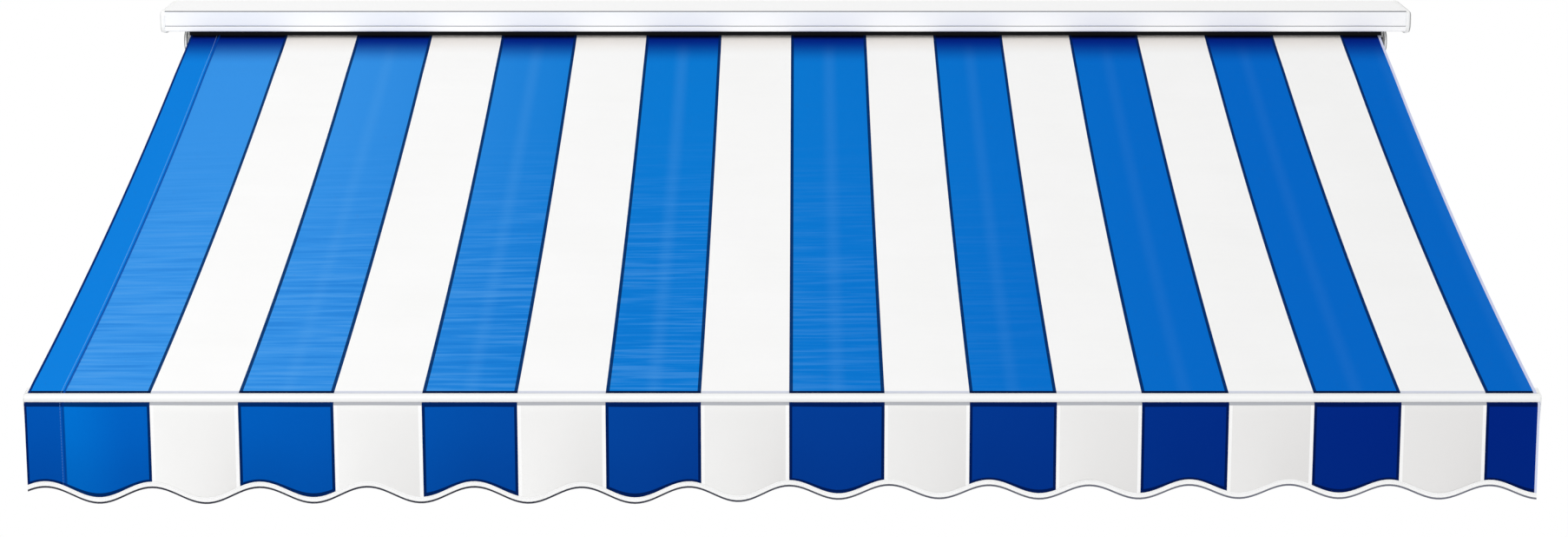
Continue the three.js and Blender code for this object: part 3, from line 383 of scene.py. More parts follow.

# %% [markdown]
# Painted shade darkens the hood's groove, a line along its upper edge and the rims of its caps, more at the
# right. The noses of the roller brackets get a painted dark shadow gap on both sides. These pieces get coats
# with painted shade lines of their own, each line placed by the box of its node.

# %% Shaded lines
HOOD_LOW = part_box("hood")[0]
HOOD_EDGE = (0.0475, 0.0505)
HOOD_GROOVE = (0.0105, 0.0165)
GROOVE_DEPTH = (0.0006, 0.006)
EDGE_STRENGTH, GROOVE_STRENGTH = 0.8, 0.55
CAP_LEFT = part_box("hood_end_cap_left")[0][0]
CAP_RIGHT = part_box("hood_end_cap_right")[1][0]
CAP_LINE = (0.002, 0.005)
CAP_STRENGTH_LEFT, CAP_STRENGTH_RIGHT = 0.25, 0.65
AXLE = middle("roller_tube")
BRACKET_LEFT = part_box("roller_bracket_left")[0][0]
BRACKET_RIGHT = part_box("roller_bracket_right")[1][0]
BRACKET_PALE = (0.0015, 0.0055)
NOSE = AXLE.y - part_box("roller_bracket_left")[0][1]
NOSE_SKIN = 0.0005
GAP_STRENGTH = 0.97


def inside(wire, limits):
    return (wire > limits[0]) * (wire < limits[1])


# Painted shade along the hood's upper edge and in its groove.
def hood_lines(x, y, z):
    depth = y - HOOD_LOW[1]
    rise = z - HOOD_LOW[2]
    edge = (depth < GROOVE_DEPTH[1]) * inside(rise, HOOD_EDGE)
    groove = inside(depth, GROOVE_DEPTH) * inside(rise, HOOD_GROOVE)
    return [EDGE_STRENGTH * edge, GROOVE_STRENGTH * groove]


# Painted shade round the rims of the caps, stronger at the right.
def cap_lines(x, y, z):
    left = inside(x - CAP_LEFT, CAP_LINE)
    right = inside(CAP_RIGHT - x, CAP_LINE)
    return [CAP_STRENGTH_LEFT * left, CAP_STRENGTH_RIGHT * right]


# Painted shadow in the gap at the noses of the roller brackets.
def bracket_lines(x, y, z):
    radius = x.math("SQRT", (y - AXLE.y) * (y - AXLE.y) + (z - AXLE.z) * (z - AXLE.z))
    rim = (y < AXLE.y) * (radius > NOSE - NOSE_SKIN)
    left = (x < 0) * (1 - inside(x - BRACKET_LEFT, BRACKET_PALE))
    right = (x > 0) * (1 - inside(BRACKET_RIGHT - x, BRACKET_PALE))
    return [GAP_STRENGTH * rim * left, GAP_STRENGTH * rim * right]


hood_coat = powder_coat("hood_powder_coat", srgb(250, 250, 250), srgb(253, 253, 253), hood_lines)
cap_plastic = moulded("cap_plastic", srgb(246, 247, 246), srgb(253, 253, 252), 0.42, 0.4, cap_lines)
bracket_coat = powder_coat("bracket_powder_coat", srgb(246, 247, 247), srgb(253, 253, 252), bracket_lines,
                           GAP_SHADE)
LINED = {"hood": hood_coat, "hood_end_cap_left": cap_plastic, "hood_end_cap_right": cap_plastic,
         "roller_bracket_left": bracket_coat, "roller_bracket_right": bracket_coat}
for name, finish in LINED.items():
    for slot in frame["nodes"][name].material_slots:
        slot.material = finish
print("pieces with shaded lines:", ", ".join(LINED))

# %% [markdown]
# ## Stripes
# Cloth and valance share one set of stripes: a wide blue one at the left hem, then white and blue by turns.
# The right panel's stripes are a little narrower. A count that grows by one with each white and blue pair
# gives the colour, how far a point lies from the nearest border, how far across its white stripe and how
# far from the middle of its blue one.

# %% Stripes
CLOTH_HALF = 1.4475
CLOTH_THICK = 0.001
FIRST = 0.236
LEFT_WHITE, LEFT_BLUE = 0.169, 0.183
RIGHT_WHITE, RIGHT_BLUE = 0.163, 0.167
LEFT_PAIRS, RIGHT_PAIRS = 4, 4
LEFT_PAIR = LEFT_WHITE + LEFT_BLUE
RIGHT_PAIR = RIGHT_WHITE + RIGHT_BLUE
LEFT_SHARE = LEFT_WHITE / LEFT_PAIR
RIGHT_SHARE = RIGHT_WHITE / RIGHT_PAIR
LEFT_END = FIRST + LEFT_PAIRS * LEFT_PAIR
RIGHT_END = LEFT_END + RIGHT_PAIRS * RIGHT_PAIR
HEM = 0.07


class Stripes:
    def __init__(self, x):
        self.across = x + CLOTH_HALF
        left = self.across.line(FIRST, LEFT_END) * LEFT_PAIRS
        right = self.across.line(LEFT_END, RIGHT_END) * RIGHT_PAIRS
        pair = (left + right) % 1
        white = LEFT_SHARE + (self.across > LEFT_END) * (RIGHT_SHARE - LEFT_SHARE)
        first = self.across < FIRST
        self.blue = x.math("MAXIMUM", pair > white, first)
        near = x.math("MINIMUM", abs(pair - white), x.math("MINIMUM", pair, 1 - pair)) * RIGHT_PAIR
        self.border = first * (FIRST - self.across) + (1 - first) * near
        self.within = pair / white
        self.centre = abs(pair - (white + 1) * 0.5) * RIGHT_PAIR + first


def stripe_edges():
    edges = [0, FIRST]
    while edges[-1] < 2 * CLOTH_HALF - 1e-6:
        on_left = len(edges) < 2 * (LEFT_PAIRS + 1)
        widths = (LEFT_WHITE, LEFT_BLUE) if on_left else (RIGHT_WHITE, RIGHT_BLUE)
        edges.append(min(edges[-1] + widths[len(edges) % 2], 2 * CLOTH_HALF))
    return [edge - CLOTH_HALF for edge in edges]


print(len(stripe_edges()) - 1, "stripes")

# %% [markdown]
# ## Run of the cloth
# The cloth comes over the top of the roll, hangs a little on its way out and drops into the groove of the
# front bar. Just under the hood's lip it dips a little more, to stay clear of the strip there. This line is
# worked out from the frame first, because the finishes follow it too.

# %% Run of the cloth
PITCH = math.radians(12)
UP = Vector((0, -math.sin(PITCH), math.cos(PITCH)))
OUT = Vector((0, -math.cos(PITCH), -math.sin(PITCH)))
CLOTH_ROUND = 0.0388
SAG = 0.028
WRAP_ANGLE = math.radians(50)
LEAD_LENGTH = 0.06
LIP_DIP = 0.004
DIP_STARTS, DIP_ENDS = (0.0, 0.05), (0.08, 0.3)
WRAP_ROWS, LEAD_ROWS, OPEN_ROWS = 8, 10, 86
WELT_ROUND = 0.0027
GROOVE_MOUTH = 0.008
welt = middle("cloth_welt_rod")
mouth = welt + GROOVE_MOUTH * UP
foot = welt + WELT_ROUND * UP
run = math.hypot(AXLE.y - mouth.y, AXLE.z - mouth.z)
slope = math.atan2(AXLE.z - mouth.z, AXLE.y - mouth.y) + math.asin(CLOTH_ROUND / run)
leave = math.pi / 2 + slope + math.atan(4 * SAG / run)


def on_roll(angle):
    return Vector((0, AXLE.y + CLOTH_ROUND * math.cos(angle), AXLE.z + CLOTH_ROUND * math.sin(angle)))


def smooth(value, low, high):
    share = min(max((value - low) / (high - low), 0), 1)
    return share * share * (3 - 2 * share)


LIFT_OFF = on_roll(leave)
LEAD = LEAD_LENGTH / (mouth - LIFT_OFF).length


def hanging_cloth(share):
    away = share * (mouth - LIFT_OFF).length
    dip = LIP_DIP * smooth(away, *DIP_STARTS) * (1 - smooth(away, *DIP_ENDS))
    return LIFT_OFF.lerp(mouth, share) - Vector((0, 0, 4 * SAG * share * (1 - share) + dip))


def lengths(points):
    total = [0.0]
    for before, after in zip(points, points[1:]):
        total.append(total[-1] + (after - before).length)
    return total


wrap = [on_roll(leave - WRAP_ANGLE * (1 - i / WRAP_ROWS)) for i in range(WRAP_ROWS)]
lead_run = [hanging_cloth(LEAD * i / LEAD_ROWS) for i in range(LEAD_ROWS + 1)]
open_run = [hanging_cloth(LEAD + (1 - LEAD) * i / OPEN_ROWS) for i in range(1, OPEN_ROWS + 1)]
RUN = wrap + lead_run + open_run + [foot]
RUN_LENGTHS = lengths(RUN)
CANOPY_LENGTH = RUN_LENGTHS[-1]
SEAM = len(wrap + lead_run) - 1
print("cloth leaves the roll at", tuple(round(v, 4) for v in LIFT_OFF))

# %% [markdown]
# The valance hooks into the bar's front groove, turns down over its face and hangs free. Its foot is cut in a
# wave, longer and a little deeper on the left panel, which also hangs a few millimetres lower.

# %% Hang of the valance
VALANCE_HALF = CLOTH_HALF + 0.0045
FIRST_CREST = -VALANCE_HALF + 0.0333
LEFT_SCALLOP, RIGHT_SCALLOP = 0.2064, 0.1925
LEFT_SCALLOPS = 6
SOLID_WAVE = 0.015
LEFT_WAVE, RIGHT_WAVE = 0.0156, 0.0132
LEFT_LEVEL, RIGHT_LEVEL = -0.0035, 0.0028
PANEL_CHANGE = (-0.35, 0.3)
TAPE_OUTSIDE = 0.0011
BAR_ROUND = 0.007
TURN_DOWN, HANG_START = 0.005, 0.011
VALANCE_ROWS = 14
hanging = VALANCE_ROWS - 3
hang_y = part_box("valance")[0][1] + CLOTH_THICK / 2
hook = middle("valance_welt_rod") + WELT_ROUND * OUT
bar_face = middle("valance_welt_rod") + BAR_ROUND * OUT
foot_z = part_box("valance_binding")[0][2] + SOLID_WAVE + TAPE_OUTSIDE
drop = [0.0, TURN_DOWN] + [HANG_START + (bar_face.z - foot_z) * i / hanging for i in range(hanging + 1)]
VALANCE_DROP = drop[-1]
VALANCE_CUT = VALANCE_DROP + LEFT_WAVE - LEFT_LEVEL
print("valance hangs", round(VALANCE_DROP, 3), "m")

# %% [markdown]
# ## Cloth finish
# Woven acrylic is matt, with a fine weave. Painted light from the left makes the blue paler at the left and
# deeper at the right, the hem strip keeps a deeper blue, and a painted shadow under the hood makes the colour
# almost navy there. A dark thread line runs along every border, a row of stitches holds the hem, and the cut
# edge at the right shows a pale selvedge.

# %% Weave, stitches and edges
CLOTH_THREAD, TAPE_THREAD = 0.0016, 0.0011
HEM_SEAM = 0.002
STITCH_INSET, STITCH_WIDTH = 0.006, 0.0005
STITCH_PITCH, STITCH_LENGTH = 0.006, 0.0042
STITCH_STRENGTH = 0.6


def weave(wires, pitch):
    chart = wires.node("ShaderNodeUVMap", {"uv_map": "cloth"})
    split = chart.node("ShaderNodeSeparateXYZ", None, {0: chart})
    over = Wire(wires.tree, split.socket.node.outputs["X"])
    along = Wire(wires.tree, split.socket.node.outputs["Y"])
    turn = 2 * math.pi / pitch
    threads = over.math("SINE", over * turn) * along.math("SINE", along * turn)
    return over, along, threads


def hem_stitches(across, along):
    return (abs(across - HEM + STITCH_INSET) < STITCH_WIDTH) * ((along % STITCH_PITCH) < STITCH_LENGTH)


def edged(cloth, across, along, colours, seam_strength, cut_edge, selvedge):
    cloth = ((abs(across - HEM) < HEM_SEAM) * seam_strength).between(cloth, colours["hem seam"])
    cloth = (hem_stitches(across, along) * STITCH_STRENGTH).between(cloth, colours["stitch"])
    cloth = (across < cut_edge).between(cloth, colours["cut edge"])
    return (across > 2 * CLOTH_HALF - selvedge).between(cloth, colours["selvedge"])


def stretched(place, scale):
    return place.node("ShaderNodeMapping", None, {0: place, "Scale": scale})


print("stitches of", STITCH_LENGTH, "m")

# %% [markdown]
# Ranges across the cloth are in metres from its left edge, ranges down it in metres along its run.

# %% Canopy cloth
CANOPY = {
    "lit left": srgb(54, 146, 230), "clear": srgb(5, 122, 212), "deep": srgb(0, 104, 202),
    "middle_line": srgb(96, 170, 236), "pale streak": srgb(104, 176, 240), "dark streak": srgb(10, 104, 196),
    "hem": srgb(10, 126, 220), "under hood": srgb(0, 34, 132), "under lip": srgb(0, 8, 34),
    "border": srgb(0, 32, 86), "at bar": srgb(0, 20, 62),
    "dull white": srgb(248, 248, 247), "white": srgb(253, 253, 253),
    "white at bar": srgb(214, 218, 230), "white under hood": srgb(236, 231, 226),
    "hem seam": srgb(0, 66, 160), "stitch": srgb(150, 192, 236),
    "cut edge": srgb(0, 40, 110), "selvedge": srgb(206, 212, 238),
}
BORDER_LINE = 0.0065
CUT_EDGE, SELVEDGE = 0.005, 0.006
# Painted light from the left: paler blue at the left, deeper at the right.
LIT_LEFT_UNTIL, DEEP_FROM = (0.2, 1.2), (1.2, 2.6)
# A lighter line down the middle of each blue stripe, fainter towards the right.
MIDDLE_LINE_BAND, MIDDLE_LINE_UNTIL = (0.0, 0.022), (1.0, 2.4)
# Painted light and shade of faint ripples across the lower left of the cloth.
STREAKED_FROM, STREAKED_UNTIL = (0.5, 1.6), (0.9, 2.2)
PALE_STREAKS, DARK_STREAKS = (0.42, 0.72), (0.28, 0.5)
STREAK_STRETCH, STREAK_STRENGTH = (5.0, 80.0, 80.0), 0.3
# Painted shadow of the hood on the cloth, near black just under its lip, on the blue and the white.
HOOD_SHADOW, LIP_SHADOW = (0.10, 0.25), (0.082, 0.108)
WHITE_HOOD_SHADOW = (0.09, 0.2)
# Painted shadow where the cloth goes into the front bar.
CANOPY_BAR_SHADOW = (CANOPY_LENGTH - 0.014, CANOPY_LENGTH - 0.010)


def canopy_blue(stripe, along, place):
    across = stripe.across
    # Painted light from the left: paler blue at the left, deeper at the right.
    blue = across.ramp(*LIT_LEFT_UNTIL).between(CANOPY["lit left"], CANOPY["clear"])
    blue = across.ramp(*DEEP_FROM).between(blue, CANOPY["deep"])
    # A lighter line down the middle of each blue stripe, fainter towards the right.
    middle_line = (1 - stripe.centre.ramp(*MIDDLE_LINE_BAND)) * (0.11 - 0.07 * across.ramp(*MIDDLE_LINE_UNTIL))
    blue = middle_line.between(blue, CANOPY["middle_line"])
    # Painted light and shade of faint ripples across the lower left of the cloth.
    streaks = noise(stretched(place, STREAK_STRETCH), 1.0, detail=3.0)
    lower_left = along.ramp(*STREAKED_FROM) * (1 - across.ramp(*STREAKED_UNTIL))
    pale_streaks = streaks.ramp(*PALE_STREAKS) * lower_left * STREAK_STRENGTH
    blue = pale_streaks.between(blue, CANOPY["pale streak"])
    dark_streaks = (1 - streaks.ramp(*DARK_STREAKS)) * lower_left * STREAK_STRENGTH
    blue = dark_streaks.between(blue, CANOPY["dark streak"])
    blue = (across < HEM).between(blue, CANOPY["hem"])
    # Painted shadow of the hood, near black just under its lip.
    blue = along.ramp(*HOOD_SHADOW).between(CANOPY["under hood"], blue)
    blue = along.ramp(*LIP_SHADOW).between(CANOPY["under lip"], blue)
    blue = ((stripe.border < BORDER_LINE) * 0.9).between(blue, CANOPY["border"])
    # Painted shadow where the cloth goes into the front bar.
    return along.ramp(*CANOPY_BAR_SHADOW).between(blue, CANOPY["at bar"])


def canopy_white(along, place):
    mottle = noise(place, 5.0, detail=3.0)
    pale = mottle.between(CANOPY["dull white"], CANOPY["white"])
    # Painted shadow where the cloth goes into the front bar.
    pale = along.ramp(*CANOPY_BAR_SHADOW).between(pale, CANOPY["white at bar"])
    # Painted shadow of the hood on the white.
    return along.ramp(*WHITE_HOOD_SHADOW).between(CANOPY["white under hood"], pale)


def canopy_cloth():
    material, shader, wires = start("canopy_cloth", Roughness=0.9, Specular_IOR_Level=0.02)
    place, axes = object_axes(wires)
    stripe = Stripes(axes[0])
    along, threads = weave(wires, CLOTH_THREAD)[1:]
    cloth = stripe.blue.between(canopy_white(along, place), canopy_blue(stripe, along, place))
    cloth = edged(cloth, stripe.across, along, CANOPY, seam_strength=0.75, cut_edge=CUT_EDGE,
                  selvedge=SELVEDGE)
    cloth.feed(shader, "Base Color")
    ripple = noise(stretched(place, (0.7, 6.0, 6.0)), 3.0)
    bump(threads * 0.15 + ripple * 5.0, strength=0.3, distance=0.0012).feed(shader, "Normal")
    return material


CANOPY_CLOTH = canopy_cloth()
print("cloth finish:", CANOPY_CLOTH.name)

# %% [markdown]
# The valance is the same weave in its own piece of cloth. It hangs upright, so less light reaches it, and
# its blue is deeper; painted light from the left makes it clear at the left end and almost navy at the right.
# Narrow bright bands run along the borders inside its white stripes, and painted shade makes each white
# stripe a little darker towards its right and its foot. Its binding is a white tape with a row of stitches,
# and a painted shadow darkens the tape's fold, more at the left than at the right.

# %% Valance cloth
VALANCE = {
    "clear": srgb(0, 96, 192), "deep": srgb(3, 62, 150), "navy": srgb(0, 36, 128),
    "glow": srgb(0, 124, 220), "hem": srgb(0, 82, 176), "foot": srgb(0, 40, 118), "rim": srgb(0, 16, 66),
    "dull white": srgb(244, 244, 243), "white": srgb(249, 249, 248), "white at right": srgb(233, 232, 231),
    "white in shade": srgb(212, 210, 209), "white border": srgb(254, 254, 254),
    "white under bar": srgb(176, 178, 184),
    "hem seam": srgb(0, 44, 120), "stitch": srgb(96, 144, 206),
    "cut edge": srgb(0, 30, 92), "selvedge": srgb(206, 212, 236),
}
# The dark rim: a thread line along every border, a painted shadow under the bar's edge, and a line just above the
# tape.
RIM_LINE = 0.0055
UNDER_BAR, ABOVE_TAPE = 0.010, 0.0125
# Painted light from the left: clear blue at the left end, deepening to almost navy at the right.
CLEAR_UNTIL, NAVY_FROM = (0.1, 1.4), (1.2, 2.8)
# Painted light: a brighter blue just right of the hem.
GLOW_UNTIL = (HEM, 0.2)
FOOT_FROM = (0.03, VALANCE_DROP)
# Painted shade on the whites: darker to the right, and in each white stripe towards its right and its foot.
DULLER_RIGHT = (0.2, 2.9)
SHADE_ACROSS, SHADE_DOWN = (0.1, 0.9), (-0.1, VALANCE_DROP)
BAR_SHADOW = (0.0115, 0.014)


def valance_blue(stripe, along):
    across = stripe.across
    # Painted light from the left: clear blue at the left end, deepening to almost navy at the right.
    blue = across.ramp(*CLEAR_UNTIL).between(VALANCE["clear"], VALANCE["deep"])
    blue = across.ramp(*NAVY_FROM).between(blue, VALANCE["navy"])
    # Painted light: a brighter blue just right of the hem.
    glow = (across > HEM) * (1 - across.ramp(*GLOW_UNTIL)) * 0.5
    blue = glow.between(blue, VALANCE["glow"])
    blue = (across < HEM).between(blue, VALANCE["hem"])
    blue = (along.ramp(*FOOT_FROM) * 0.25).between(blue, VALANCE["foot"])
    # The dark rim: a thread line along every border, a painted shadow under the bar's edge, and a line just above
    # the tape.
    ends = along.math("MINIMUM", along - UNDER_BAR, VALANCE_DROP - ABOVE_TAPE - along)
    rim = along.math("MINIMUM", stripe.border, ends)
    return ((rim < RIM_LINE) * 0.85).between(blue, VALANCE["rim"])


def valance_white(stripe, along, place):
    mottle = noise(place, 7.0, detail=3.0)
    pale = mottle.between(VALANCE["dull white"], VALANCE["white"])
    # Painted shade on the whites: darker to the right, and in each white stripe towards its right and its foot.
    pale = stripe.across.line(*DULLER_RIGHT).between(pale, VALANCE["white at right"])
    shade = stripe.within.line(*SHADE_ACROSS) * along.line(*SHADE_DOWN)
    pale = (shade * 0.4).between(pale, VALANCE["white in shade"])
    pale = ((stripe.border < BORDER_LINE) * 0.8).between(pale, VALANCE["white border"])
    return (1 - along.ramp(*BAR_SHADOW)).between(pale, VALANCE["white under bar"])


def valance_cloth():
    material, shader, wires = start("valance_cloth", Roughness=0.9, Specular_IOR_Level=0.02)
    place, axes = object_axes(wires)
    stripe = Stripes(axes[0])
    along, threads = weave(wires, CLOTH_THREAD)[1:]
    cloth = stripe.blue.between(valance_white(stripe, along, place), valance_blue(stripe, along))
    cloth = edged(cloth, stripe.across, along, VALANCE, seam_strength=0.6, cut_edge=0.0, selvedge=0.0)
    cloth.feed(shader, "Base Color")
    ripple = noise(stretched(place, (3.0, 1.0, 0.6)), 3.0)
    bump(threads * 0.15 + ripple * 4.0, strength=0.3, distance=0.0012).feed(shader, "Normal")
    return material


VALANCE_CLOTH = valance_cloth()
print("cloth finish:", VALANCE_CLOTH.name)

# %% Binding tape
TAPE_DULL, TAPE_BRIGHT = srgb(249, 249, 248), srgb(255, 255, 255)
TAPE_STITCH = srgb(205, 206, 210)
# Painted shadow along the fold of the tape, darker at the left.
FOLD_SHADE_LEFT, FOLD_SHADE_RIGHT = srgb(38, 40, 54), srgb(112, 114, 126)
FOLD_SHADE_CHANGE = (-0.5, 0.9)
FOLD_SHADE_AT, FOLD_SHADE_HALF = 0.0126, 0.0036
BINDING = 0.012
TAPE_STITCH_AT = 0.0025
TAPE_STITCH_PITCH, TAPE_STITCH_LENGTH = 0.004, 0.0026


def tape():
    material, shader, wires = start("binding_tape", Roughness=0.8, Specular_IOR_Level=0.25)
    place = object_axes(wires)[0]
    over, along, threads = weave(wires, TAPE_THREAD)
    mottle = noise(place, 40.0, detail=3.0)
    pale = mottle.between(TAPE_DULL, TAPE_BRIGHT)
    row = abs(along - TAPE_STITCH_AT) < STITCH_WIDTH
    stitch = row * ((over % TAPE_STITCH_PITCH) < TAPE_STITCH_LENGTH)
    pale = (stitch * 0.4).between(pale, TAPE_STITCH)
    # Painted shadow along the fold of the tape, darker at the left.
    fold_shade = over.ramp(*FOLD_SHADE_CHANGE).between(FOLD_SHADE_LEFT, FOLD_SHADE_RIGHT)
    (abs(along - FOLD_SHADE_AT) < FOLD_SHADE_HALF).between(pale, fold_shade).feed(shader, "Base Color")
    bump(threads * 0.4 - stitch, strength=0.4, distance=0.0006).feed(shader, "Normal")
    return material


BINDING_TAPE = tape()
print("tape finish:", BINDING_TAPE.name)

# %% [markdown]
# ## Canopy
# The canopy is one curved sheet, so it is woven as a grid: columns at the stripe borders and between them,
# rows along the run. The hem at the left lies double and stands a little higher. Under the hood's lip the
# grid is parted in two pieces that meet edge to edge: the short lead and the long open cloth.

# %% Weaving a sheet
def woven(name, columns, rows, at, along):
    corners = [at(x, row) for row in range(rows) for x in columns]
    count = len(columns)
    faces = [(i + r * count, i + 1 + r * count, i + 1 + (r + 1) * count, i + (r + 1) * count)
             for r in range(rows - 1) for i in range(count - 1)]
    mesh = bpy.data.meshes.new(name)
    mesh.from_pydata(corners, [], [face[::-1] for face in faces])
    chart = mesh.uv_layers.new(name="cloth")
    for loop in mesh.loops:
        row, column = divmod(loop.vertex_index, count)
        chart.data[loop.index].uv = (columns[column], along[row])
    piece = bpy.data.objects.new(name, mesh)
    bpy.context.collection.objects.link(piece)
    return piece


def columns_between(edges, each):
    inner = [low + (high - low) * i / each for low, high in zip(edges, edges[1:]) for i in range(each)]
    return inner + [edges[-1]]


print("two spans of four columns:", columns_between([0, 1, 2], 4))

# %% Canopy sheet
CLOTH_SMOOTH = math.radians(40)
HEM_RISE = 0.0009
PANEL_SWELL = 0.0016
SWELL_FROM, SWELL_SHARE = 0.08, 0.9
STRIPE_COLUMNS = 7
HEM_FROM, HEM_UNTIL = WRAP_ROWS + 1, len(RUN) - 3
edges = stripe_edges()
hem_edges = [edges[0] + HEM, edges[0] + HEM + HEM_SEAM]
canopy_columns = columns_between(edges[:1] + hem_edges + edges[1:], STRIPE_COLUMNS)


def canopy_at(x, row):
    before = RUN[max(row - 1, 0)]
    after = RUN[min(row + 1, len(RUN) - 1)]
    along = (after - before).normalized()
    outward = Vector((0, along.z, -along.y))
    share = RUN_LENGTHS[row] / CANOPY_LENGTH
    open_part = math.sin(math.pi * min(max((share - SWELL_FROM) / SWELL_SHARE, 0), 1))
    swell = PANEL_SWELL * open_part * math.cos(2 * math.pi * (x - edges[1]) / LEFT_PAIR)
    rise = HEM_RISE if x < edges[0] + HEM + HEM_SEAM / 2 and HEM_FROM < row < HEM_UNTIL else 0.0
    return RUN[row] + Vector((x, 0, 0)) + outward * (swell + rise)


def canopy_piece(name, first, last):
    piece = woven(name, canopy_columns, last - first + 1, lambda x, row: canopy_at(x, row + first),
                  RUN_LENGTHS[first:last + 1])
    piece.data.materials.append(CANOPY_CLOTH)
    apply_modifier(piece, "SOLIDIFY", thickness=CLOTH_THICK, offset=0.0)
    bpy.ops.object.shade_smooth_by_angle(angle=CLOTH_SMOOTH)
    return piece


lead = canopy_piece("canopy_lead", 0, SEAM)
canopy = canopy_piece("canopy_sheet", SEAM, len(RUN) - 1)
print("canopy:", len(canopy.data.polygons), "faces,", round(CANOPY_LENGTH, 3), "m long")

# %% [markdown]
# The real cloth winds onto the roller as the arms fold. Here the open cloth rides on the left arm's knuckle,
# and the share of its reach that it would keep, as the front bar comes in when the arms fold, is worked out.
# The lead stays where it is.

# %% Canopy on its bodies
ARM = 0.93
ARM_ANGLE = 10
FOLD = max(joint["range_deg"][1] for joint in frame["joints"] if joint["name"] == "left_shoulder")
reach = (mouth - RUN[SEAM]).dot(OUT)
open_cosine, folded_cosine = (math.cos(math.radians(angle)) for angle in (ARM_ANGLE, ARM_ANGLE + FOLD))
travel = 2 * ARM * (open_cosine - folded_cosine)
KEEP = (reach - travel) / reach
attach(canopy, "left_knuckle")
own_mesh(canopy)
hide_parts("canopy")
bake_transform(lead)
print("folded, the cloth keeps", round(KEEP, 4), "of its reach, or", round(KEEP * reach, 3), "m")

# %% [markdown]
# ## Roll
# The turns that stay on the tube are a cylinder of cloth with a lap where the last turn starts. A primitive
# gives the drum, one run of faces is pulled out for the lap, and a modifier gives the wall.

# %% Turns of cloth on the tube
ROLL_RADIUS = 0.038
ROLL_WALL = 0.0018
LAP_RISE = 0.0008
LAP_LOW, LAP_FRONT = -0.2, -0.9
deselect()
bpy.ops.mesh.primitive_cylinder_add(vertices=72, radius=ROLL_RADIUS - LAP_RISE, depth=2 * CLOTH_HALF,
                                    end_fill_type="NOTHING", location=AXLE, rotation=(0, math.pi / 2, 0))
roll = bpy.context.object
roll.name = "cloth_roll"
bpy.ops.object.transform_apply(location=True, rotation=True)


def pick_faces(piece, test):
    bpy.ops.object.mode_set(mode="EDIT")
    bpy.ops.mesh.select_mode(type="FACE")
    bpy.ops.mesh.select_all(action="DESELECT")
    mesh = bmesh.from_edit_mesh(piece.data)
    for face in mesh.faces:
        face.select = test(face.calc_center_median(), face.normal)
    mesh.select_flush_mode()
    bmesh.update_edit_mesh(piece.data)


pick_faces(roll, lambda centre, normal: normal.z > LAP_LOW and normal.y > LAP_FRONT)
bpy.ops.mesh.extrude_region_shrink_fatten(TRANSFORM_OT_shrink_fatten={"value": LAP_RISE})
bpy.ops.object.mode_set(mode="OBJECT")
apply_modifier(roll, "SOLIDIFY", thickness=ROLL_WALL, offset=-1.0)
bpy.ops.object.shade_smooth_by_angle(angle=math.radians(35))
print("roll:", len(roll.data.polygons), "faces")

# %% [markdown]
# The roll shows the same stripes as the cloth, so it gets the cloth's own chart: the place along X, and the
# way round the drum, moved on past the part of the cloth that is shaded by the hood. It turns with the
# roller.

# %% Roll on its body
PAST_SHADE = 0.4


def chart_along_x(piece, along):
    chart = piece.data.uv_layers.get("cloth") or piece.data.uv_layers.new(name="cloth")
    for loop in piece.data.loops:
        place = piece.data.vertices[loop.vertex_index].co
        chart.data[loop.index].uv = (place.x, along(place))


chart_along_x(roll, lambda at: PAST_SHADE + CLOTH_ROUND * math.atan2(at.z - AXLE.z, at.y - AXLE.y))
roll.data.materials.append(CANOPY_CLOTH)
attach(roll, "roller")
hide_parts("canopy_roll")
print("roll rides on the roller")

# %% [markdown]
# ## Valance
# The loose cloth swings in and out a little, in a slow wave along the bar and a quick one from scallop to
# scallop, both more towards the foot.

# %% Valance sheet
WAVE_COLUMNS = 20
SLOW_SWING, SLOW_LENGTH, SLOW_START = 0.0026, 0.83, 0.7
QUICK_SWING = 0.0016
SWING_POWER = 1.5
FACE_CLEAR, UNDER_HOOK = 0.001, 0.003
valance_columns = columns_between([-VALANCE_HALF] + hem_edges + edges[1:-1] + [VALANCE_HALF], WAVE_COLUMNS)


def scallop_turn(x):
    left_end = FIRST_CREST + LEFT_SCALLOPS * LEFT_SCALLOP
    scallops = (min(x, left_end) - FIRST_CREST) / LEFT_SCALLOP + max(x - left_end, 0) / RIGHT_SCALLOP
    return 2 * math.pi * scallops


def foot_at(x):
    right = smooth(x, *PANEL_CHANGE)
    level = LEFT_LEVEL + (RIGHT_LEVEL - LEFT_LEVEL) * right
    height = LEFT_WAVE + (RIGHT_WAVE - LEFT_WAVE) * right
    return foot_z + level + height * math.cos(scallop_turn(x))


def swing(x, share):
    slow = math.sin(2 * math.pi * x / SLOW_LENGTH + SLOW_START)
    quick = math.sin(scallop_turn(x))
    return share ** SWING_POWER * (SLOW_SWING * slow + QUICK_SWING * quick)


def valance_at(x, row):
    if row == 0:
        return hook + Vector((x, 0, 0))
    if row == 1:
        return bar_face + FACE_CLEAR * OUT + Vector((x, 0, 0))
    share = (row - 2) / hanging
    top = bar_face.z - UNDER_HOOK
    bottom = foot_at(x)
    return Vector((x, hang_y + swing(x, share), top + share * (bottom - top)))


valance = woven("valance_sheet", valance_columns, VALANCE_ROWS, valance_at, drop)
valance.data.materials.append(VALANCE_CLOTH)
apply_modifier(valance, "SOLIDIFY", thickness=CLOTH_THICK, offset=0.0)
bpy.ops.object.shade_smooth_by_angle(angle=CLOTH_SMOOTH)
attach(valance, "front")
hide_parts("valance")
print("valance:", len(valance.data.polygons), "faces, foot at", round(foot_z, 4))

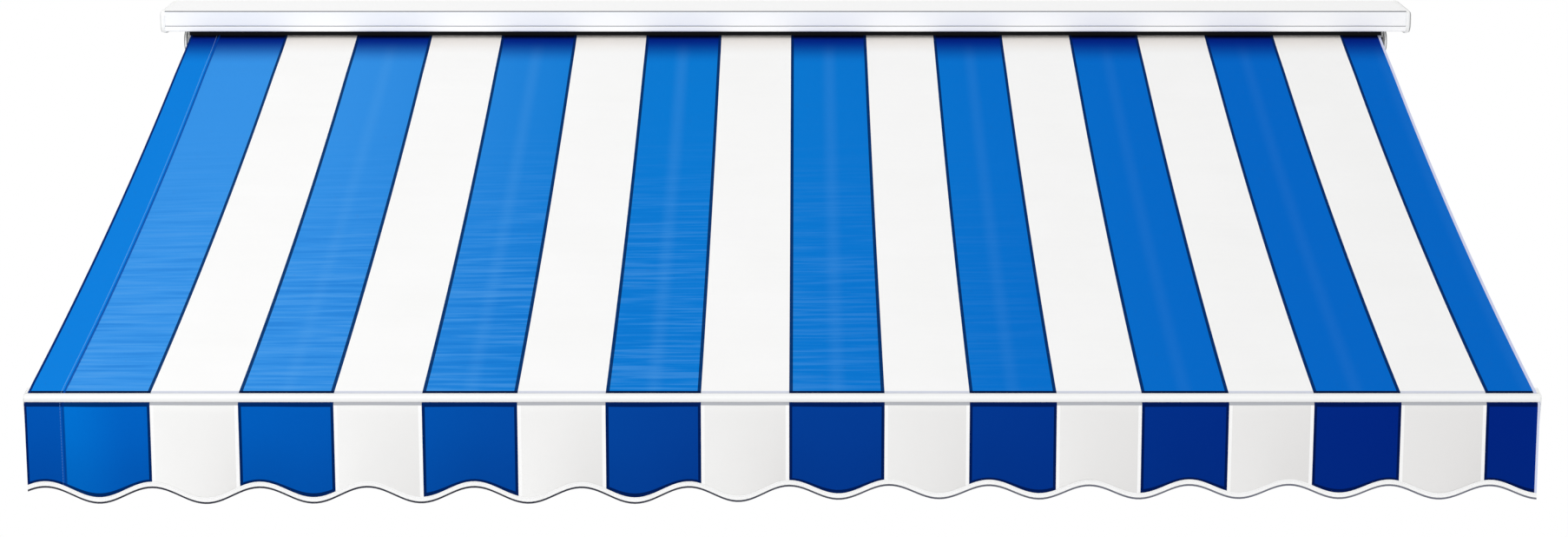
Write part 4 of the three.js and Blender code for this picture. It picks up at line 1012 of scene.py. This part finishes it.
# %% [markdown]
# The foot is bound with the tape, folded over the cut edge and stitched. It follows the same wave, so it is
# woven from the same columns: a front leaf, a rounded fold and a back leaf, given the tape's thickness.

# %% Binding
TAPE_THICK = 0.0006
FOLD_SECTION = [(-0.0013, 1.0), (-0.00145, 0.5), (-0.0013, 0.1), (-0.0006, -0.06), (0.0006, -0.06),
                (0.0013, 0.1), (0.00145, 0.5), (0.0013, 1.0)]


def binding_at(x, row):
    side, rise = FOLD_SECTION[row]
    return Vector((x, hang_y + swing(x, 1.0) + side, foot_at(x) + rise * BINDING))


around = lengths([Vector((0, side, rise * BINDING)) for side, rise in FOLD_SECTION])
binding = woven("binding_tape", valance_columns, len(FOLD_SECTION), binding_at, around)
binding.data.materials.append(BINDING_TAPE)
apply_modifier(binding, "SOLIDIFY", thickness=TAPE_THICK, offset=0.0)
bpy.ops.object.shade_smooth_by_angle(angle=math.radians(50))
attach(binding, "front")
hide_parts("valance_binding")
print("binding:", len(binding.data.polygons), "faces")

# %% [markdown]
# The cut size of each sheet is worked out here. The canopy is stretched from the roll to the front bar, and
# the valance hangs from the bar: its cut reaches down to the lowest wave, and the waves take back half of that.

# %% Cut sizes of the sheets
2 * VALANCE_HALF * VALANCE_DROP
print("cut sizes:", round(2 * CLOTH_HALF, 3), "by", round(CANOPY_LENGTH, 3), "m and",
      round(2 * VALANCE_HALF, 3), "by", round(VALANCE_CUT, 3), "m")

# %% [markdown]
# ## Screws
# Each cap, bracket and strap is held by round-headed screws with a round recess. One is modelled at a radius
# of one: a short drum whose upper rim is drawn in, with a recess pressed into its top. Every screw on the
# awning is a copy with its own mesh.

# %% One screw
SCREW_DRUM = 0.35
SCREW_DOME = ((0.14, 0.16), (0.2, 0.1), (0.18, 0.03))
RECESS_RIM, RECESS_DEPTH, RECESS_TAPER = 0.02, 0.3, 0.85
deselect()
bpy.ops.mesh.primitive_cylinder_add(vertices=24, radius=1, depth=SCREW_DRUM, location=(0, 0, SCREW_DRUM / 2))
screw = bpy.context.object
bpy.ops.object.transform_apply(location=True)
pick_faces(screw, lambda centre, normal: normal.z > 0.9)
for inward, rise in SCREW_DOME:
    bpy.ops.mesh.inset(thickness=inward)
    bpy.ops.transform.translate(value=(0, 0, rise))
bpy.ops.mesh.inset(thickness=RECESS_RIM)
bpy.ops.mesh.extrude_region_move(TRANSFORM_OT_translate={"value": (0, 0, -RECESS_DEPTH)})
bpy.ops.transform.resize(value=(RECESS_TAPER, RECESS_TAPER, 1))
bpy.ops.object.mode_set(mode="OBJECT")
bpy.ops.object.shade_smooth_by_angle(angle=math.radians(45))
print("screw:", len(screw.data.polygons), "faces")

# %% Copies of the screw
CAP_RADIUS, BAR_CAP_RADIUS, WRIST_RADIUS = 0.005, 0.0035, 0.0045
BASE_RADIUS, BRACKET_RADIUS, STRAP_RADIUS = 0.006, 0.008, 0.005
HOOD_CAP_Z = 0.103
HOOD_CAP_ROWS = (("front", -0.15), ("rear", -0.06))
BAR_CAP_ROWS = (("upper", -0.004), ("lower", -0.018))
WRIST_FACE = 0.0217
WRIST_ROWS = (("upper", 0.016), ("lower", -0.012))
WRIST_COLUMNS = (("outer", 0.0225), ("inner", -0.0225))
BASE_COLUMNS = (("outer", 0.02), ("inner", -0.02))
TORSION_Y = -0.046
STRAP_FACE, STRAP_Z = -0.0123, 0.0325
screws = []


def put_screw(name, place, direction, radius, body):
    turn = Vector(direction).to_track_quat("Z", "X").to_matrix().to_4x4()
    copy = bpy.data.objects.new(name, screw.data.copy())
    copy.data.transform(Matrix.Translation(place) @ turn @ Matrix.Scale(radius, 4))
    bpy.context.collection.objects.link(copy)
    copy.data.materials.append(FINISHES["steel"])
    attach(copy, body)
    screws.append(copy)


def outer_face(node, sign):
    low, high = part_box(node)
    return high[0] if sign > 0 else low[0]


for side, sign in (("left", -1), ("right", 1)):
    outward = (sign, 0, 0)
    face = outer_face(f"hood_end_cap_{side}", sign)
    for row, y in HOOD_CAP_ROWS:
        spot = Vector((face, y, HOOD_CAP_Z))
        put_screw(f"hood_cap_screw_{side}_{row}", spot, outward, CAP_RADIUS, "head")
    cap = middle(f"front_bar_cap_{side}")
    face = outer_face(f"front_bar_cap_{side}", sign)
    for row, rise in BAR_CAP_ROWS:
        spot = Vector((face, cap.y, cap.z)) + rise * UP
        put_screw(f"bar_cap_screw_{side}_{row}", spot, outward, BAR_CAP_RADIUS, "front")
    pin = middle(f"wrist_pin_{side}")
    for row, rise in WRIST_ROWS:
        for column, aside in WRIST_COLUMNS:
            spot = pin + WRIST_FACE * OUT + rise * UP + Vector((sign * aside, 0, 0))
            put_screw(f"wrist_screw_{side}_{row}_{column}", spot, -OUT, WRIST_RADIUS, "front")
    base = middle(f"arm_base_{side}")
    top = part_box(f"arm_base_{side}")[1][2]
    for column, aside in BASE_COLUMNS:
        spot = Vector((base.x + sign * aside, TORSION_Y, top))
        put_screw(f"arm_base_bolt_{side}_{column}", spot, (0, 0, 1), BASE_RADIUS, "head")
    spot = Vector((outer_face(f"roller_bracket_{side}", sign), TORSION_Y, 0))
    put_screw(f"roller_bracket_bolt_{side}", spot, outward, BRACKET_RADIUS, "head")
for name in ("left", "middle", "right"):
    spot = Vector((middle(f"bracket_strap_{name}").x, STRAP_FACE, STRAP_Z))
    put_screw(f"strap_bolt_{name}", spot, (0, -1, 0), STRAP_RADIUS, "head")
bpy.data.objects.remove(screw)
print("screws and bolts:", len(screws))
